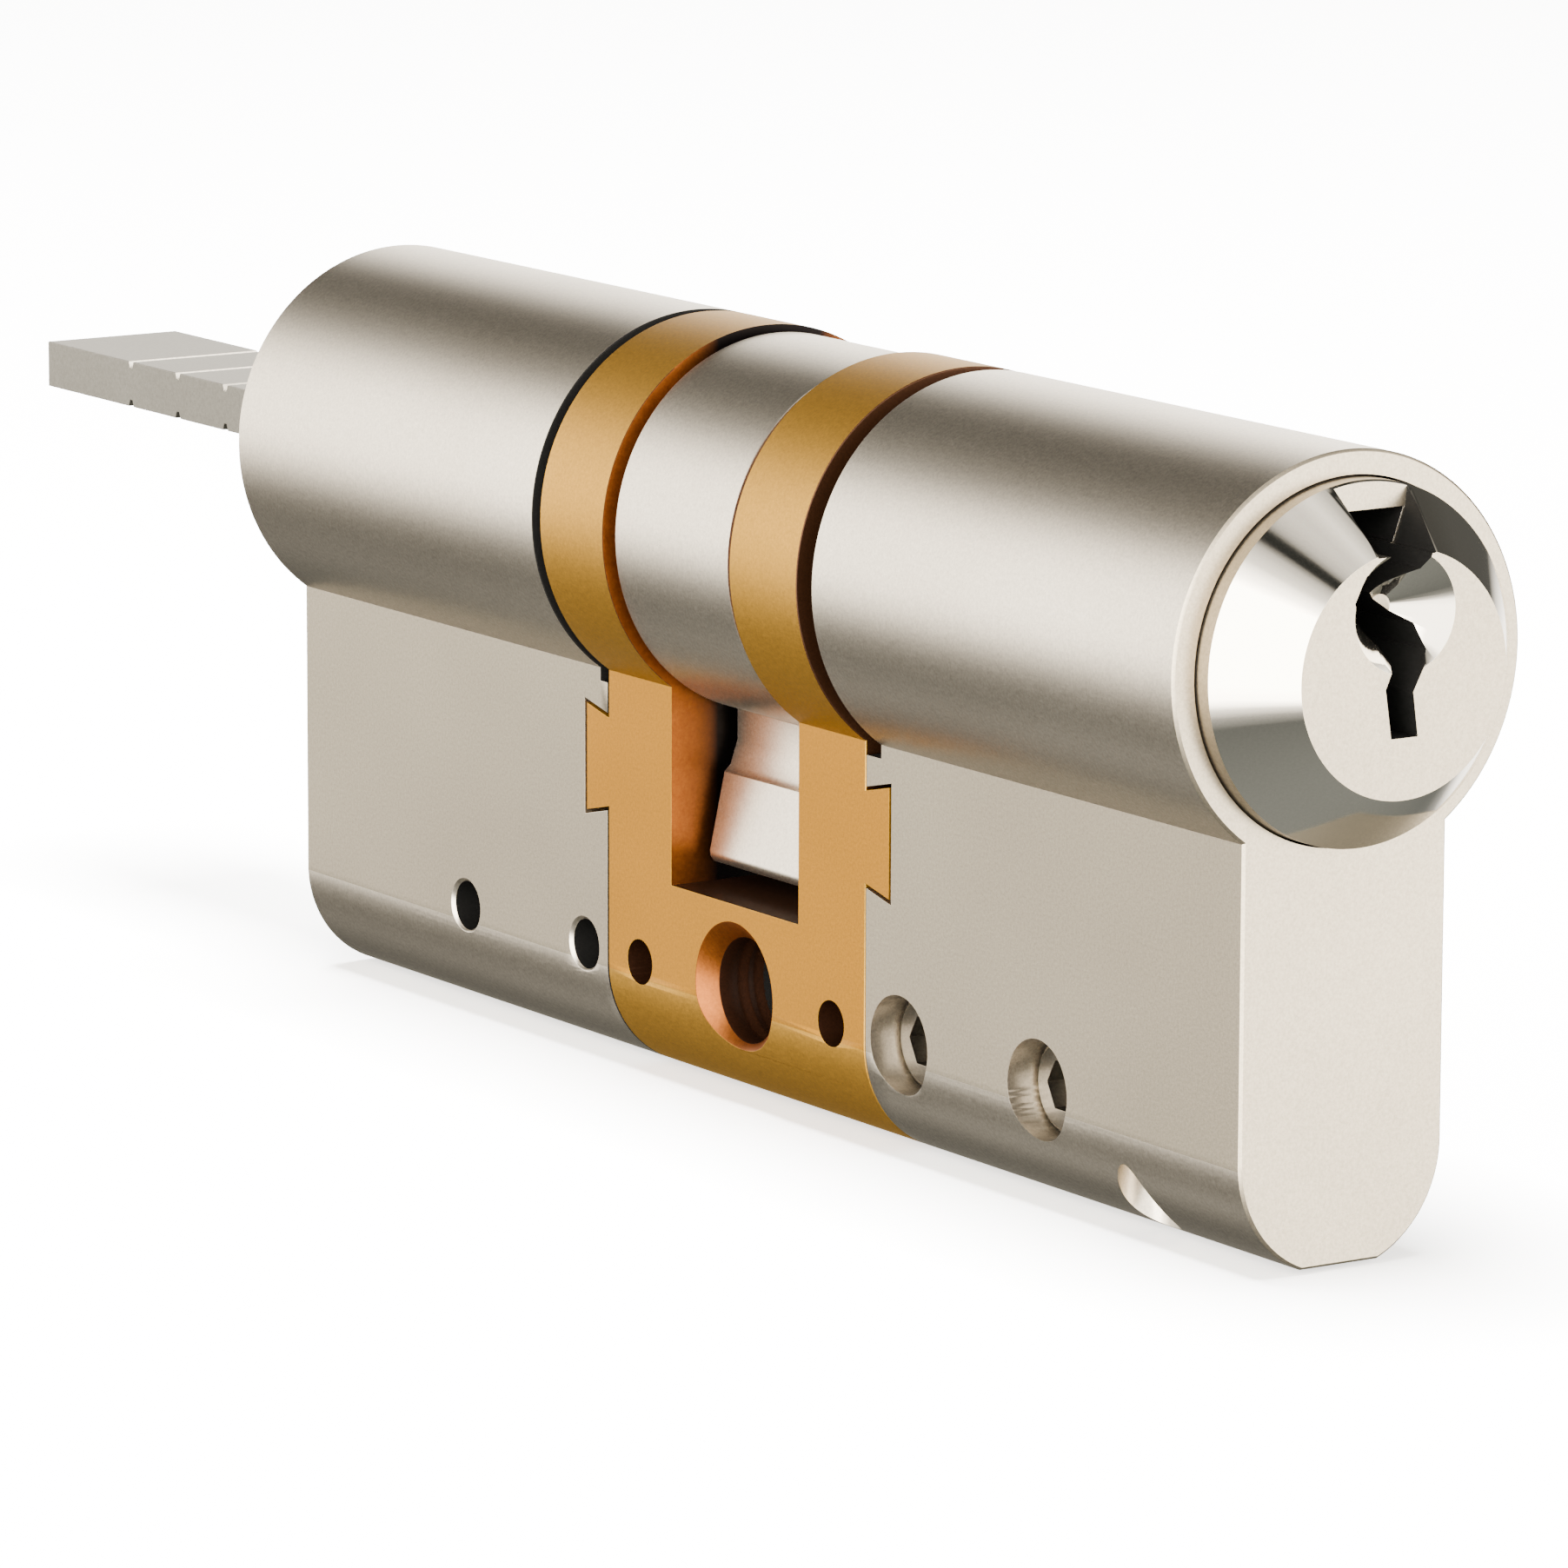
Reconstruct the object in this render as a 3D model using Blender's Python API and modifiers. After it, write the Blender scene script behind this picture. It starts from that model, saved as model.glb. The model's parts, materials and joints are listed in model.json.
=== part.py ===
"""Modular Euro-profile lock cylinder with a brass bridge, cam and flat tail blade.

Frame: the plug axis runs along X with the key side at +X, Z is up, and the origin is
the centre of the M5 fixing-screw hole on the mid-plane. The cylinder is modelled as it
stands with its key inserted: the pins meet at the shear line and the clutch is engaged.
"""
import math

import bmesh
import bpy
from mathutils import Matrix, Vector

MM = 0.001

# ---- driving dimensions, in millimetres ----
# Euro profile (DIN 18252): 33 high, 17 across the barrel, 10 across the web
PROFILE_HEIGHT = 33.0
BARREL_D = 17.0
WEB_W = 10.0
FOOT_R = WEB_W / 2
FOOT_FLAT = 1.9
# length of each side, from the fixing hole to the end faces
KEY_SIDE = 37.1
TAIL_SIDE = 36.4
# fixing screw hole, and its height below the plug axis
AXIS_DROP = 19.43
FIX_HOLE_D = 4.6
FIX_SINK_D = 6.1
FIX_SINK_DEPTH = 0.75
# bridge, its cam window and dovetail tongues
BRIDGE_W = 20.28
WINDOW_W = 10.06
WINDOW_DROP = AXIS_DROP - 3.84
RING_GAP = 0.25
TONGUE_LEN = 1.78
TONGUE_TOP = -9.0
TONGUE_BOTTOM = -12.95
TONGUE_FLARE = 0.4
SOCKET_GAP = 0.17
JOINT_GAP = 0.06
STEP_DROP = 7.47
KEY_RELIEF = 1.14
TAIL_RELIEF = 0.64
# cam
CAM_D = 16.5
CAM_SIDE_GAP = 0.58
CAM_HUB_GAP = 0.2
CAM_HUB_OVERLAP = 0.95
CAM_SLOT_FIT_W = 0.1
CAM_SLOT_FIT_H = 0.15
CAM_BORE_WALL = 2.7
LOBE_REACH = 14.85
LOBE_ROOT_W = 4.0
LOBE_TIP_W = 6.8
LOBE_SHOULDER = 10.55
# plug
PLUG_D = 12.8
PLUG_FIT = 0.05
HEAD_STEP = 1.0
HEAD_FIT = 0.08
HEAD_SEAT = 2.1
HEAD_BAND = 0.8
NOSE_LEN = 2.9
NOSE_SLOPE_W = 2.4
PLUG_CAM_GAP = 0.42
FUNNEL_D = 4.9
FUNNEL_DEPTH = 1.7
FUNNEL_RISE = 2.5
# slot across the nose's cone and the pocket behind it (y, z from the plug axis)
NOSE_SLOT = ((-1.35, 4.75), (1.45, 4.75), (2.0, 6.25), (2.1, 7.3), (-1.5, 7.3))
NOSE_POCKET = ((-1.3, 4.8), (1.4, 4.8), (1.93, 6.2), (-1.38, 6.2))
NOSE_POCKET_DEPTH = 5.2
# keyway outline on the plug face (y, z from the plug axis), broached along the plug
KEYWAY = (
    (0.65, 5.3), (1.35, 4.9), (1.05, 4.1), (-0.9, 3.2), (1.15, 1.85), (1.3, 0.9),
    (0.45, -0.7), (0.7, -2.5), (-0.6, -2.5), (-0.9, -0.5), (-0.5, 0.4), (-0.75, 1.15),
    (-2.2, 2.3), (-2.45, 3.05), (-1.9, 4.1), (-0.7, 4.7), (-0.45, 5.3),
)
# pin stacks
STACKS = 5
FIRST_STACK_INSET = 5.6
STACK_PITCH = 4.0
CHAMBER_D = 3.0
PIN_FIT = 0.08
CHAMBER_FLOOR_GAP = 0.05
KEY_PIN_LENGTHS = (3.9, 4.9, 4.3, 5.2, 3.6)
SHEAR_GAP = 0.12
DRIVER_LEN = 4.0
DRIVER_WAIST = 0.3
SPRING_GAP = 0.25
SPRING_WIRE = 0.34
SPRING_TURNS = 5.0
CHAMBER_PLUG_H = 1.2
# reinforcing bar through the web
BAR_W = 4.0
BAR_H = 6.9
BAR_ABOVE_HOLE = 3.28
BAR_FRONT = 25.4
BAR_REAR = 25.4
BAR_FIT = 0.08
# grub screws, cross pins and anti-drill pins
GRUB_D = 4.2
GRUB_FIT = 0.06
GRUB_INSETS = (2.6, 12.78)
GRUB_SINK = 1.3
GRUB_BITE = 0.5
SOCKET_AF = 2.0
SOCKET_DEPTH = 1.1
BODY_PIN_INSETS = (12.09, 2.02)
BODY_PIN_D = 2.26
BODY_PIN_SINK_D = 2.56
BODY_PIN_SINK_DEPTH = 0.16
BRIDGE_PIN_INSET = 2.57
BRIDGE_PIN_D = 2.04
PIN_RECESS = 1.6
PRESS_FIT = 0.03
DRILL_PIN_INSET = 8.3
DRILL_PIN_WALL = 1.55
DRILL_PIN_D = 2.6
DRILL_PIN_LEN = 10.0
DRILL_PIN_RECESS = 4.2
# rotor, clutch and tail blade
ROTOR_REAR = 0.25
TENON_LEN = 2.6
CLUTCH_W = 2.9
CLUTCH_STEP = 1.85
CLUTCH_LEN = 7.8
CLUTCH_BITE = 2.3
CLUTCH_TRAVEL = 2.6
CLUTCH_FIT = 0.1
CLIP_W = 0.7
ROTOR_CLIP_W = 0.44
CLIP_STAND = 0.9
CLIP_GROOVE_DEPTH = 0.8
CLIP_FIT = 0.1
BLADE_REACH = 27.05
BLADE_W = 7.02
BLADE_T = 2.16
BLADE_BITE = 9.4
BLADE_FIT = 0.1
SCORE_PITCH = 4.5
SCORE_INSET = 8.17
SCORE_COUNT = 4
SCORE_W = 0.4
SCORE_DEPTH = 0.3
BLADE_PIN_D = 1.6
BLADE_PIN_INSET = 5.2
BLADE_PIN_SUNK = 0.9

# ---- worked-out dimensions ----
BARREL_R = BARREL_D / 2
WEB_HALF = WEB_W / 2
PROFILE_BOTTOM = BARREL_R - PROFILE_HEIGHT
BRIDGE_HALF = BRIDGE_W / 2
WINDOW_HALF = WINDOW_W / 2
CAM_W = WINDOW_W - 2 * CAM_SIDE_GAP
PLUG_R = PLUG_D / 2
BORE_R = PLUG_R + PLUG_FIT
RING_BORE_D = PLUG_D + 2 * RING_GAP
CAM_HUB_D = RING_BORE_D - 2 * CAM_HUB_GAP
CAM_BORE_D = PLUG_D - 2 * CAM_BORE_WALL
HEAD_D = PLUG_D + 2 * HEAD_STEP
FACE_D = HEAD_D - 2 * NOSE_SLOPE_W
CLIP_D = PLUG_D + 2 * CLIP_STAND
CLIP_GROOVE_D = PLUG_D - 2 * CLIP_GROOVE_DEPTH
CLUTCH_H = PLUG_D - 2 * CLUTCH_STEP
CAM_SLOT_W = CLUTCH_W + 2 * CAM_SLOT_FIT_W
CAM_SLOT_H = CLUTCH_H + 2 * CAM_SLOT_FIT_H
BAR_TOP_DROP = AXIS_DROP - BAR_ABOVE_HOLE
CHAMBER_FLOOR = BAR_TOP_DROP - CHAMBER_FLOOR_GAP
HEAD_FACE = KEY_SIDE + HEAD_BAND
PLUG_FACE = HEAD_FACE + NOSE_LEN
HEAD_BACK = KEY_SIDE - HEAD_SEAT
CAM_HUB_END = WINDOW_HALF + CAM_HUB_OVERLAP
PLUG_REAR = CAM_HUB_END + PLUG_CAM_GAP
CLUTCH_TIP = CAM_HUB_END - CLUTCH_BITE
POCKET_END = CLUTCH_TIP + CLUTCH_LEN + CLUTCH_TRAVEL + CLUTCH_FIT
KEYWAY_END = POCKET_END - 1.0
STACK_X = [KEY_SIDE - FIRST_STACK_INSET - STACK_PITCH * i for i in range(STACKS)]
GRUB_X = [BRIDGE_HALF + inset for inset in GRUB_INSETS]
BODY_PIN_X = [-BRIDGE_HALF - inset for inset in BODY_PIN_INSETS]
BRIDGE_PIN_X = (BRIDGE_PIN_INSET - BRIDGE_HALF, BRIDGE_HALF - BRIDGE_PIN_INSET)
DRILL_PIN_X = KEY_SIDE - DRILL_PIN_INSET
DRILL_PIN_Y = WEB_HALF - DRILL_PIN_WALL
SPRING_D = CHAMBER_D - 2 * SPRING_GAP
BLADE_END = TAIL_SIDE + BLADE_REACH
BLADE_ROOT = TAIL_SIDE - BLADE_BITE
BLADE_PIN_X = BLADE_PIN_INSET - TAIL_SIDE
BLADE_PIN_LEN = PLUG_D - 2 * BLADE_PIN_SUNK
SCORE_LAST = BLADE_END - SCORE_INSET
DRIVER_TOP = -(PLUG_R + SHEAR_GAP)
ROUND = 48
SMALL_ROUND = 16

# ---- scene and collections ----
for old in list(bpy.data.objects):
    bpy.data.objects.remove(old, do_unlink=True)


def new_collection(name):
    """Make a collection in the scene."""
    made = bpy.data.collections.new(name)
    bpy.context.scene.collection.children.link(made)
    return made


LOCK = new_collection("euro_lock_cylinder")
CUTTERS = new_collection("cutters")
CUTTERS.hide_render = True


# ---- materials ----
def metal(name, colour, roughness):
    """A Principled metal."""
    made = bpy.data.materials.new(name)
    made.use_nodes = True
    shader = made.node_tree.nodes["Principled BSDF"]
    shader.inputs["Base Color"].default_value = (*colour, 1.0)
    shader.inputs["Metallic"].default_value = 1.0
    shader.inputs["Roughness"].default_value = roughness
    return made


NICKEL = (0.66, 0.62, 0.56)
POLISHED = (0.75, 0.73, 0.70)
BRASS = (0.78, 0.57, 0.25)
STEEL = (0.50, 0.50, 0.51)
DARK_STEEL = (0.20, 0.20, 0.21)
SPRING_STEEL = (0.60, 0.60, 0.62)


# ---- geometry helpers, all in millimetres with z measured from the plug axis ----
def at_axis(x, y, z):
    """A point given from the plug axis, in metres in the part's frame."""
    return Vector((x * MM, y * MM, (z + AXIS_DROP) * MM))


def link(name, mesh, collection):
    """Wrap a mesh in an object."""
    made = bpy.data.objects.new(name, mesh)
    collection.objects.link(made)
    if collection is CUTTERS:
        made.display_type = "WIRE"
        made.hide_render = True
    return made


def mesh_from(bm, name):
    """Finish a bmesh as a mesh in metres with its normals facing out."""
    bmesh.ops.recalc_face_normals(bm, faces=bm.faces)
    bmesh.ops.scale(bm, vec=(MM, MM, MM), verts=bm.verts)
    mesh = bpy.data.meshes.new(name)
    bm.to_mesh(mesh)
    bm.free()
    return mesh


def prism(name, outline, along, low, high, collection=CUTTERS):
    """Extrude a closed outline. The outline holds (y, z) for X, (x, z) for Y, (x, y) for Z."""
    bm = bmesh.new()
    spots = {
        "X": lambda a, b: (low, a, b),
        "Y": lambda a, b: (a, low, b),
        "Z": lambda a, b: (a, b, low),
    }[along]
    ring = [bm.verts.new(spots(a, b)) for a, b in outline]
    face = bm.faces.new(ring)
    way = {"X": (1, 0, 0), "Y": (0, 1, 0), "Z": (0, 0, 1)}[along]
    grown = bmesh.ops.extrude_face_region(bm, geom=[face])
    moved = [v for v in grown["geom"] if isinstance(v, bmesh.types.BMVert)]
    bmesh.ops.translate(bm, verts=moved, vec=Vector(way) * (high - low))
    made = link(name, mesh_from(bm, name), collection)
    made.location = at_axis(0, 0, 0)
    return made


def box(name, x, y, z, collection=CUTTERS):
    """A box from (low, high) pairs."""
    outline = ((y[0], z[0]), (y[1], z[0]), (y[1], z[1]), (y[0], z[1]))
    return prism(name, outline, "X", x[0], x[1], collection)


def turned(name, profile, along="X", centre=(0, 0, 0), sides=ROUND, collection=CUTTERS):
    """Spin a profile of (distance along, radius) points about an axis through a centre."""
    bm = bmesh.new()
    rings = []
    for t, r in profile:
        if r <= 0:
            rings.append([bm.verts.new((t, 0, 0))])
            continue
        turn = [2 * math.pi * (k + 0.5) / sides for k in range(sides)]
        rings.append([bm.verts.new((t, r * math.cos(a), r * math.sin(a))) for a in turn])
    for one, two in zip(rings, rings[1:]):
        for k in range(sides):
            n = (k + 1) % sides
            corners = [one[k % len(one)], one[n % len(one)], two[n % len(two)], two[k % len(two)]]
            bm.faces.new(list(dict.fromkeys(corners)))
    for end in (rings[0], rings[-1]):
        if len(end) > 1:
            bm.faces.new(end)
    mesh = mesh_from(bm, name)
    if along == "Y":
        mesh.transform(Matrix.Rotation(math.pi / 2, 4, "Z"))
    if along == "Z":
        mesh.transform(Matrix.Rotation(-math.pi / 2, 4, "Y"))
    made = link(name, mesh, collection)
    made.location = at_axis(*centre)
    return made


def rod(name, radius, low, high, along="X", centre=(0, 0, 0), sides=ROUND, collection=CUTTERS):
    """A plain cylinder."""
    return turned(name, ((low, radius), (high, radius)), along, centre, sides, collection)


def ring_profile(outer, inner, low, high, sides=ROUND, name="ring", collection=CUTTERS):
    """A plain ring about the plug axis."""
    made = rod(name, outer, low, high, sides=sides, collection=collection)
    cut(made, rod(name + "_hole", inner, low - 1, high + 1, sides=sides))
    return made


def boolean(target, tool, operation):
    """Apply one exact Boolean and keep the tool as a hidden cutter."""
    step = target.modifiers.new(tool.name, "BOOLEAN")
    step.operation = operation
    step.solver = "EXACT"
    step.object = tool
    return step


def cut(target, *tools):
    """Subtract each tool."""
    for tool in tools:
        boolean(target, tool, "DIFFERENCE")
    return target


def join(target, *tools):
    """Add each tool."""
    for tool in tools:
        boolean(target, tool, "UNION")
    return target


def bevel(target, width, segments=1, angle=50):
    """Break the sharp edges."""
    step = target.modifiers.new("edges", "BEVEL")
    step.width = width * MM
    step.segments = segments
    step.limit_method = "ANGLE"
    step.angle_limit = math.radians(angle)
    step.harden_normals = False
    return target


def finish(made, name, colour, roughness):
    """Bake the modifiers, name the object, clean it and give it its material."""
    graph = bpy.context.evaluated_depsgraph_get()
    mesh = bpy.data.meshes.new_from_object(made.evaluated_get(graph))
    made.modifiers.clear()
    bm = bmesh.new()
    bm.from_mesh(mesh)
    bmesh.ops.remove_doubles(bm, verts=bm.verts, dist=0.00001 * 0.5)
    bmesh.ops.dissolve_degenerate(bm, edges=bm.edges, dist=0.000002)
    bmesh.ops.recalc_face_normals(bm, faces=bm.faces)
    for face in bm.faces:
        face.smooth = True
    for edge in bm.edges:
        if len(edge.link_faces) == 2 and edge.calc_face_angle() > math.radians(30):
            edge.smooth = False
    bm.to_mesh(mesh)
    bm.free()
    made.data = mesh
    made.name = name
    mesh.name = name
    mesh.materials.clear()
    mesh.materials.append(metal(name, colour, roughness))
    for held in list(made.users_collection):
        held.objects.unlink(made)
    LOCK.objects.link(made)
    made.hide_render = False
    made.display_type = "TEXTURED"
    return made


def arc(centre_y, centre_z, radius, start, end, count):
    """Points on an arc in the (y, z) plane, angles in degrees from +y towards +z."""
    steps = [math.radians(start + (end - start) * k / count) for k in range(count + 1)]
    return [(centre_y + radius * math.cos(a), centre_z + radius * math.sin(a)) for a in steps]


def euro_outline(top=None):
    """The Euro profile around the plug axis, or only the part below a height."""
    foot_z = PROFILE_BOTTOM + FOOT_R * math.cos(math.asin(FOOT_FLAT / FOOT_R))
    reach = math.degrees(math.asin(FOOT_FLAT / FOOT_R))
    foot = arc(0, foot_z, FOOT_R, 180, 270 - reach, 7) + arc(0, foot_z, FOOT_R, 270 + reach, 360, 7)
    if top is not None:
        return foot + [(WEB_HALF, top), (-WEB_HALF, top)]
    join_angle = math.degrees(math.acos(WEB_HALF / BARREL_R))
    return foot + arc(0, 0, BARREL_R, -join_angle, 180 + join_angle, 40)


def cross_hole(x, radius, name, z=-AXIS_DROP, sides=SMALL_ROUND):
    """A hole through the web from side to side."""
    return rod(name, radius, -WEB_HALF - 1, WEB_HALF + 1, "Y", (x, 0, z), sides)


def chamfer_cone(x, inner, outer, depth, side, name, sides=SMALL_ROUND):
    """A countersink in the web's side face. The cone runs on past the hole's wall."""
    edge = side * WEB_HALF
    slope = (outer - inner) / depth
    overshoot = 0.4 * inner
    deep = edge - side * (depth + overshoot / slope)
    proud = edge + side * 0.5
    profile = sorted(((deep, inner - overshoot), (proud, outer + slope * 0.5)))
    return turned(name, profile, "Y", (x, 0, -AXIS_DROP), sides)


def tongue_outline(sign, clearance=0.0, extra=0.0):
    """A dovetail tongue of the bridge in (x, z), or its socket with a clearance."""
    root = BRIDGE_HALF - 0.5
    tip = BRIDGE_HALF + TONGUE_LEN + clearance + extra
    slope = TONGUE_FLARE / TONGUE_LEN
    rise = slope * (tip - BRIDGE_HALF)
    dip = slope * 0.5
    return (
        (sign * root, TONGUE_TOP - dip + clearance),
        (sign * tip, TONGUE_TOP + rise + clearance),
        (sign * tip, TONGUE_BOTTOM - rise - clearance),
        (sign * root, TONGUE_BOTTOM + dip - clearance),
    )


def bar_channel(name, x):
    """The channel that the reinforcing bar lies in."""
    half = BAR_W / 2 + BAR_FIT
    top = -BAR_TOP_DROP + BAR_FIT
    return box(name, x, (-half, half), (top - BAR_H - 2 * BAR_FIT, top))


# ---- front body, key side ----
front = prism("front_body", euro_outline(), "X", BRIDGE_HALF + KEY_RELIEF, KEY_SIDE)
join(
    front,
    prism(
        "front_web", euro_outline(-STEP_DROP), "X", BRIDGE_HALF + JOINT_GAP, BRIDGE_HALF + KEY_RELIEF + 2,
    ),
)
cut(
    front,
    rod("front_bore", BORE_R, BRIDGE_HALF - 1, KEY_SIDE + 1),
    rod("front_seat", HEAD_D / 2 + HEAD_FIT, HEAD_BACK - HEAD_FIT, KEY_SIDE + 1),
    prism("front_socket", tongue_outline(1, SOCKET_GAP), "Y", -WEB_HALF - 1, WEB_HALF + 1),
    bar_channel("front_channel", (BRIDGE_HALF - 1, BAR_FRONT + BAR_FIT)),
)
for i, x in enumerate(STACK_X):
    low = -CHAMBER_FLOOR - 0.5
    high = -BORE_R + 1.4
    cut(front, rod(f"front_chamber_{i}", CHAMBER_D / 2, low, high, "Z", (x, 0, 0), SMALL_ROUND))
for i, x in enumerate(GRUB_X):
    low = -WEB_HALF - 1
    cut(front, rod(f"front_grub_{i}", GRUB_D / 2 + GRUB_FIT, low, -BAR_W / 2, "Y", (x, 0, -AXIS_DROP), 24))
for side, label in ((-1, "near"), (1, "far")):
    cut(
        front,
        rod(
            "front_drill_" + label, DRILL_PIN_D / 2 + PRESS_FIT,
            PROFILE_BOTTOM - 1, PROFILE_BOTTOM + DRILL_PIN_RECESS + DRILL_PIN_LEN + 0.1,
            "Z", (DRILL_PIN_X, side * DRILL_PIN_Y, 0), SMALL_ROUND,
        ),
    )
finish(front, "front_body", NICKEL, 0.34)

# ---- back body, tail side ----
back = prism("back_body", euro_outline(), "X", -TAIL_SIDE, -BRIDGE_HALF - TAIL_RELIEF)
join(
    back,
    prism(
        "back_web", euro_outline(-STEP_DROP), "X", -BRIDGE_HALF - TAIL_RELIEF - 2, -BRIDGE_HALF - JOINT_GAP,
    ),
)
cut(
    back,
    rod("back_bore", BORE_R, -TAIL_SIDE - 1, -BRIDGE_HALF + 1),
    prism("back_socket", tongue_outline(-1, SOCKET_GAP), "Y", -WEB_HALF - 1, WEB_HALF + 1),
    bar_channel("back_channel", (-BAR_REAR - BAR_FIT, -BRIDGE_HALF + 1)),
)
for i, x in enumerate(BODY_PIN_X):
    cut(back, cross_hole(x, BODY_PIN_D / 2, f"back_pin_hole_{i}"))
    for side in (-1, 1):
        cut(back, chamfer_cone(
            x, BODY_PIN_D / 2, BODY_PIN_SINK_D / 2, BODY_PIN_SINK_DEPTH, side, f"back_pin_sink_{i}_{side}",
        ))
finish(back, "back_body", NICKEL, 0.34)

# ---- brass bridge ----
bridge = prism("bridge", euro_outline(), "X", -BRIDGE_HALF, BRIDGE_HALF)
join(
    bridge,
    prism("tongue_front", tongue_outline(1), "Y", -WEB_HALF, WEB_HALF),
    prism("tongue_back", tongue_outline(-1), "Y", -WEB_HALF, WEB_HALF),
)
cut(
    bridge,
    box("window", (-WINDOW_HALF, WINDOW_HALF), (-BARREL_R - 1, BARREL_R + 1), (-WINDOW_DROP, BARREL_R + 1)),
    rod("ring_bore", RING_BORE_D / 2, -BRIDGE_HALF - 1, BRIDGE_HALF + 1),
    bar_channel("bridge_channel", (-BRIDGE_HALF - TONGUE_LEN - 1, BRIDGE_HALF + TONGUE_LEN + 1)),
    cross_hole(0, FIX_HOLE_D / 2, "fixing_hole", sides=32),
)
for side in (-1, 1):
    cut(bridge, chamfer_cone(
        0, FIX_HOLE_D / 2, FIX_SINK_D / 2, FIX_SINK_DEPTH, side, f"fixing_sink_{side}", 32,
    ))
for i, x in enumerate(BRIDGE_PIN_X):
    cut(bridge, cross_hole(x, BRIDGE_PIN_D / 2, f"bridge_pin_hole_{i}"))
finish(bridge, "bridge", BRASS, 0.3)

# ---- reinforcing bar ----
bar = box(
    "reinforcing_bar", (-BAR_REAR, BAR_FRONT), (-BAR_W / 2, BAR_W / 2),
    (-BAR_TOP_DROP - BAR_H, -BAR_TOP_DROP),
)
cut(bar, cross_hole(0, FIX_HOLE_D / 2, "bar_fixing_hole", sides=32))
for i, x in enumerate(BODY_PIN_X):
    cut(bar, cross_hole(x, BODY_PIN_D / 2, f"bar_body_pin_{i}"))
for i, x in enumerate(BRIDGE_PIN_X):
    cut(bar, cross_hole(x, BRIDGE_PIN_D / 2, f"bar_bridge_pin_{i}"))
for i, x in enumerate(GRUB_X):
    low = -BAR_W / 2 - 1
    high = -BAR_W / 2 + GRUB_BITE + PRESS_FIT
    cut(bar, rod(f"bar_dimple_{i}", GRUB_D / 2 + GRUB_FIT, low, high, "Y", (x, 0, -AXIS_DROP), 24))
finish(bar, "reinforcing_bar", STEEL, 0.4)

# ---- grub screws ----
for i, x in enumerate(GRUB_X):
    head = -WEB_HALF + GRUB_SINK
    tip = -BAR_W / 2 + GRUB_BITE
    screw = turned(
        "grub", ((head, GRUB_D / 2 - 0.15), (head + 0.15, GRUB_D / 2), (tip, GRUB_D / 2)),
        "Y", (x, 0, -AXIS_DROP), 24,
    )
    socket_r = SOCKET_AF / math.sqrt(3)
    corners = [math.radians(60 * k) for k in range(6)]
    hexagon = [(x + socket_r * math.cos(a), -AXIS_DROP + socket_r * math.sin(a)) for a in corners]
    cut(screw, prism(f"socket_{i}", hexagon, "Y", head - 1, head + SOCKET_DEPTH))
    finish(screw, f"grub_screw_{i + 1}", STEEL, 0.35)

# ---- cross pins that hold the bar ----
pin_half = WEB_HALF - PIN_RECESS
for group, places, diameter in (("body", BODY_PIN_X, BODY_PIN_D), ("bridge", BRIDGE_PIN_X, BRIDGE_PIN_D)):
    for i, x in enumerate(places):
        r = diameter / 2 - PRESS_FIT
        pin = turned(
            "pin",
            ((-pin_half, r - 0.2), (-pin_half + 0.2, r), (pin_half - 0.2, r), (pin_half, r - 0.2)),
            "Y", (x, 0, -AXIS_DROP), SMALL_ROUND,
        )
        finish(pin, f"{group}_cross_pin_{i + 1}", DARK_STEEL, 0.4)

# ---- anti-drill pins ----
for side, label in ((-1, "near"), (1, "far")):
    low = PROFILE_BOTTOM + DRILL_PIN_RECESS
    r = DRILL_PIN_D / 2
    pin = turned(
        "drill",
        ((low, r - 0.2), (low + 0.2, r), (low + DRILL_PIN_LEN - 0.2, r), (low + DRILL_PIN_LEN, r - 0.2)),
        "Z", (DRILL_PIN_X, side * DRILL_PIN_Y, 0), SMALL_ROUND,
    )
    finish(pin, "anti_drill_pin_" + label, STEEL, 0.35)

# ---- plug ----
plug = turned(
    "front_plug",
    (
        (PLUG_REAR, PLUG_R - 0.3), (PLUG_REAR + 0.3, PLUG_R), (HEAD_BACK, PLUG_R),
        (HEAD_BACK, HEAD_D / 2), (HEAD_FACE, HEAD_D / 2), (PLUG_FACE, FACE_D / 2),
    ),
)
clip_mid_front = BRIDGE_HALF + KEY_RELIEF / 2
groove = ring_profile(
    PLUG_R + 1, CLIP_GROOVE_D / 2, clip_mid_front - CLIP_W / 2 - CLIP_FIT / 2,
    clip_mid_front + CLIP_W / 2 + CLIP_FIT / 2, name="plug_groove",
)
cut(plug, groove)
for i, x in enumerate(STACK_X):
    cut(plug, rod(f"plug_chamber_{i}", CHAMBER_D / 2, -PLUG_R - 1, 1.1, "Z", (x, 0, 0), SMALL_ROUND))
slot_half = CLUTCH_W / 2 + CLUTCH_FIT
cut(
    plug,
    prism("keyway", KEYWAY, "X", KEYWAY_END, PLUG_FACE + 1),
    box(
        "clutch_slot", (PLUG_REAR - 1, POCKET_END),
        (-slot_half, slot_half), (-CLUTCH_H / 2 - CLUTCH_FIT, CLUTCH_H / 2 + CLUTCH_FIT),
    ),
    turned(
        "funnel",
        ((PLUG_FACE - FUNNEL_DEPTH, 0.5), (PLUG_FACE, FUNNEL_D / 2), (PLUG_FACE + 0.5, FUNNEL_D / 2 + 0.55)),
        "X", (0, 0, FUNNEL_RISE), 32,
    ),
    prism("nose_slot", NOSE_SLOT, "X", HEAD_FACE + 0.1, PLUG_FACE + 1),
    prism("nose_pocket", NOSE_POCKET, "X", PLUG_FACE - NOSE_POCKET_DEPTH, PLUG_FACE + 1),
)
finish(plug, "front_plug", POLISHED, 0.15)


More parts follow.
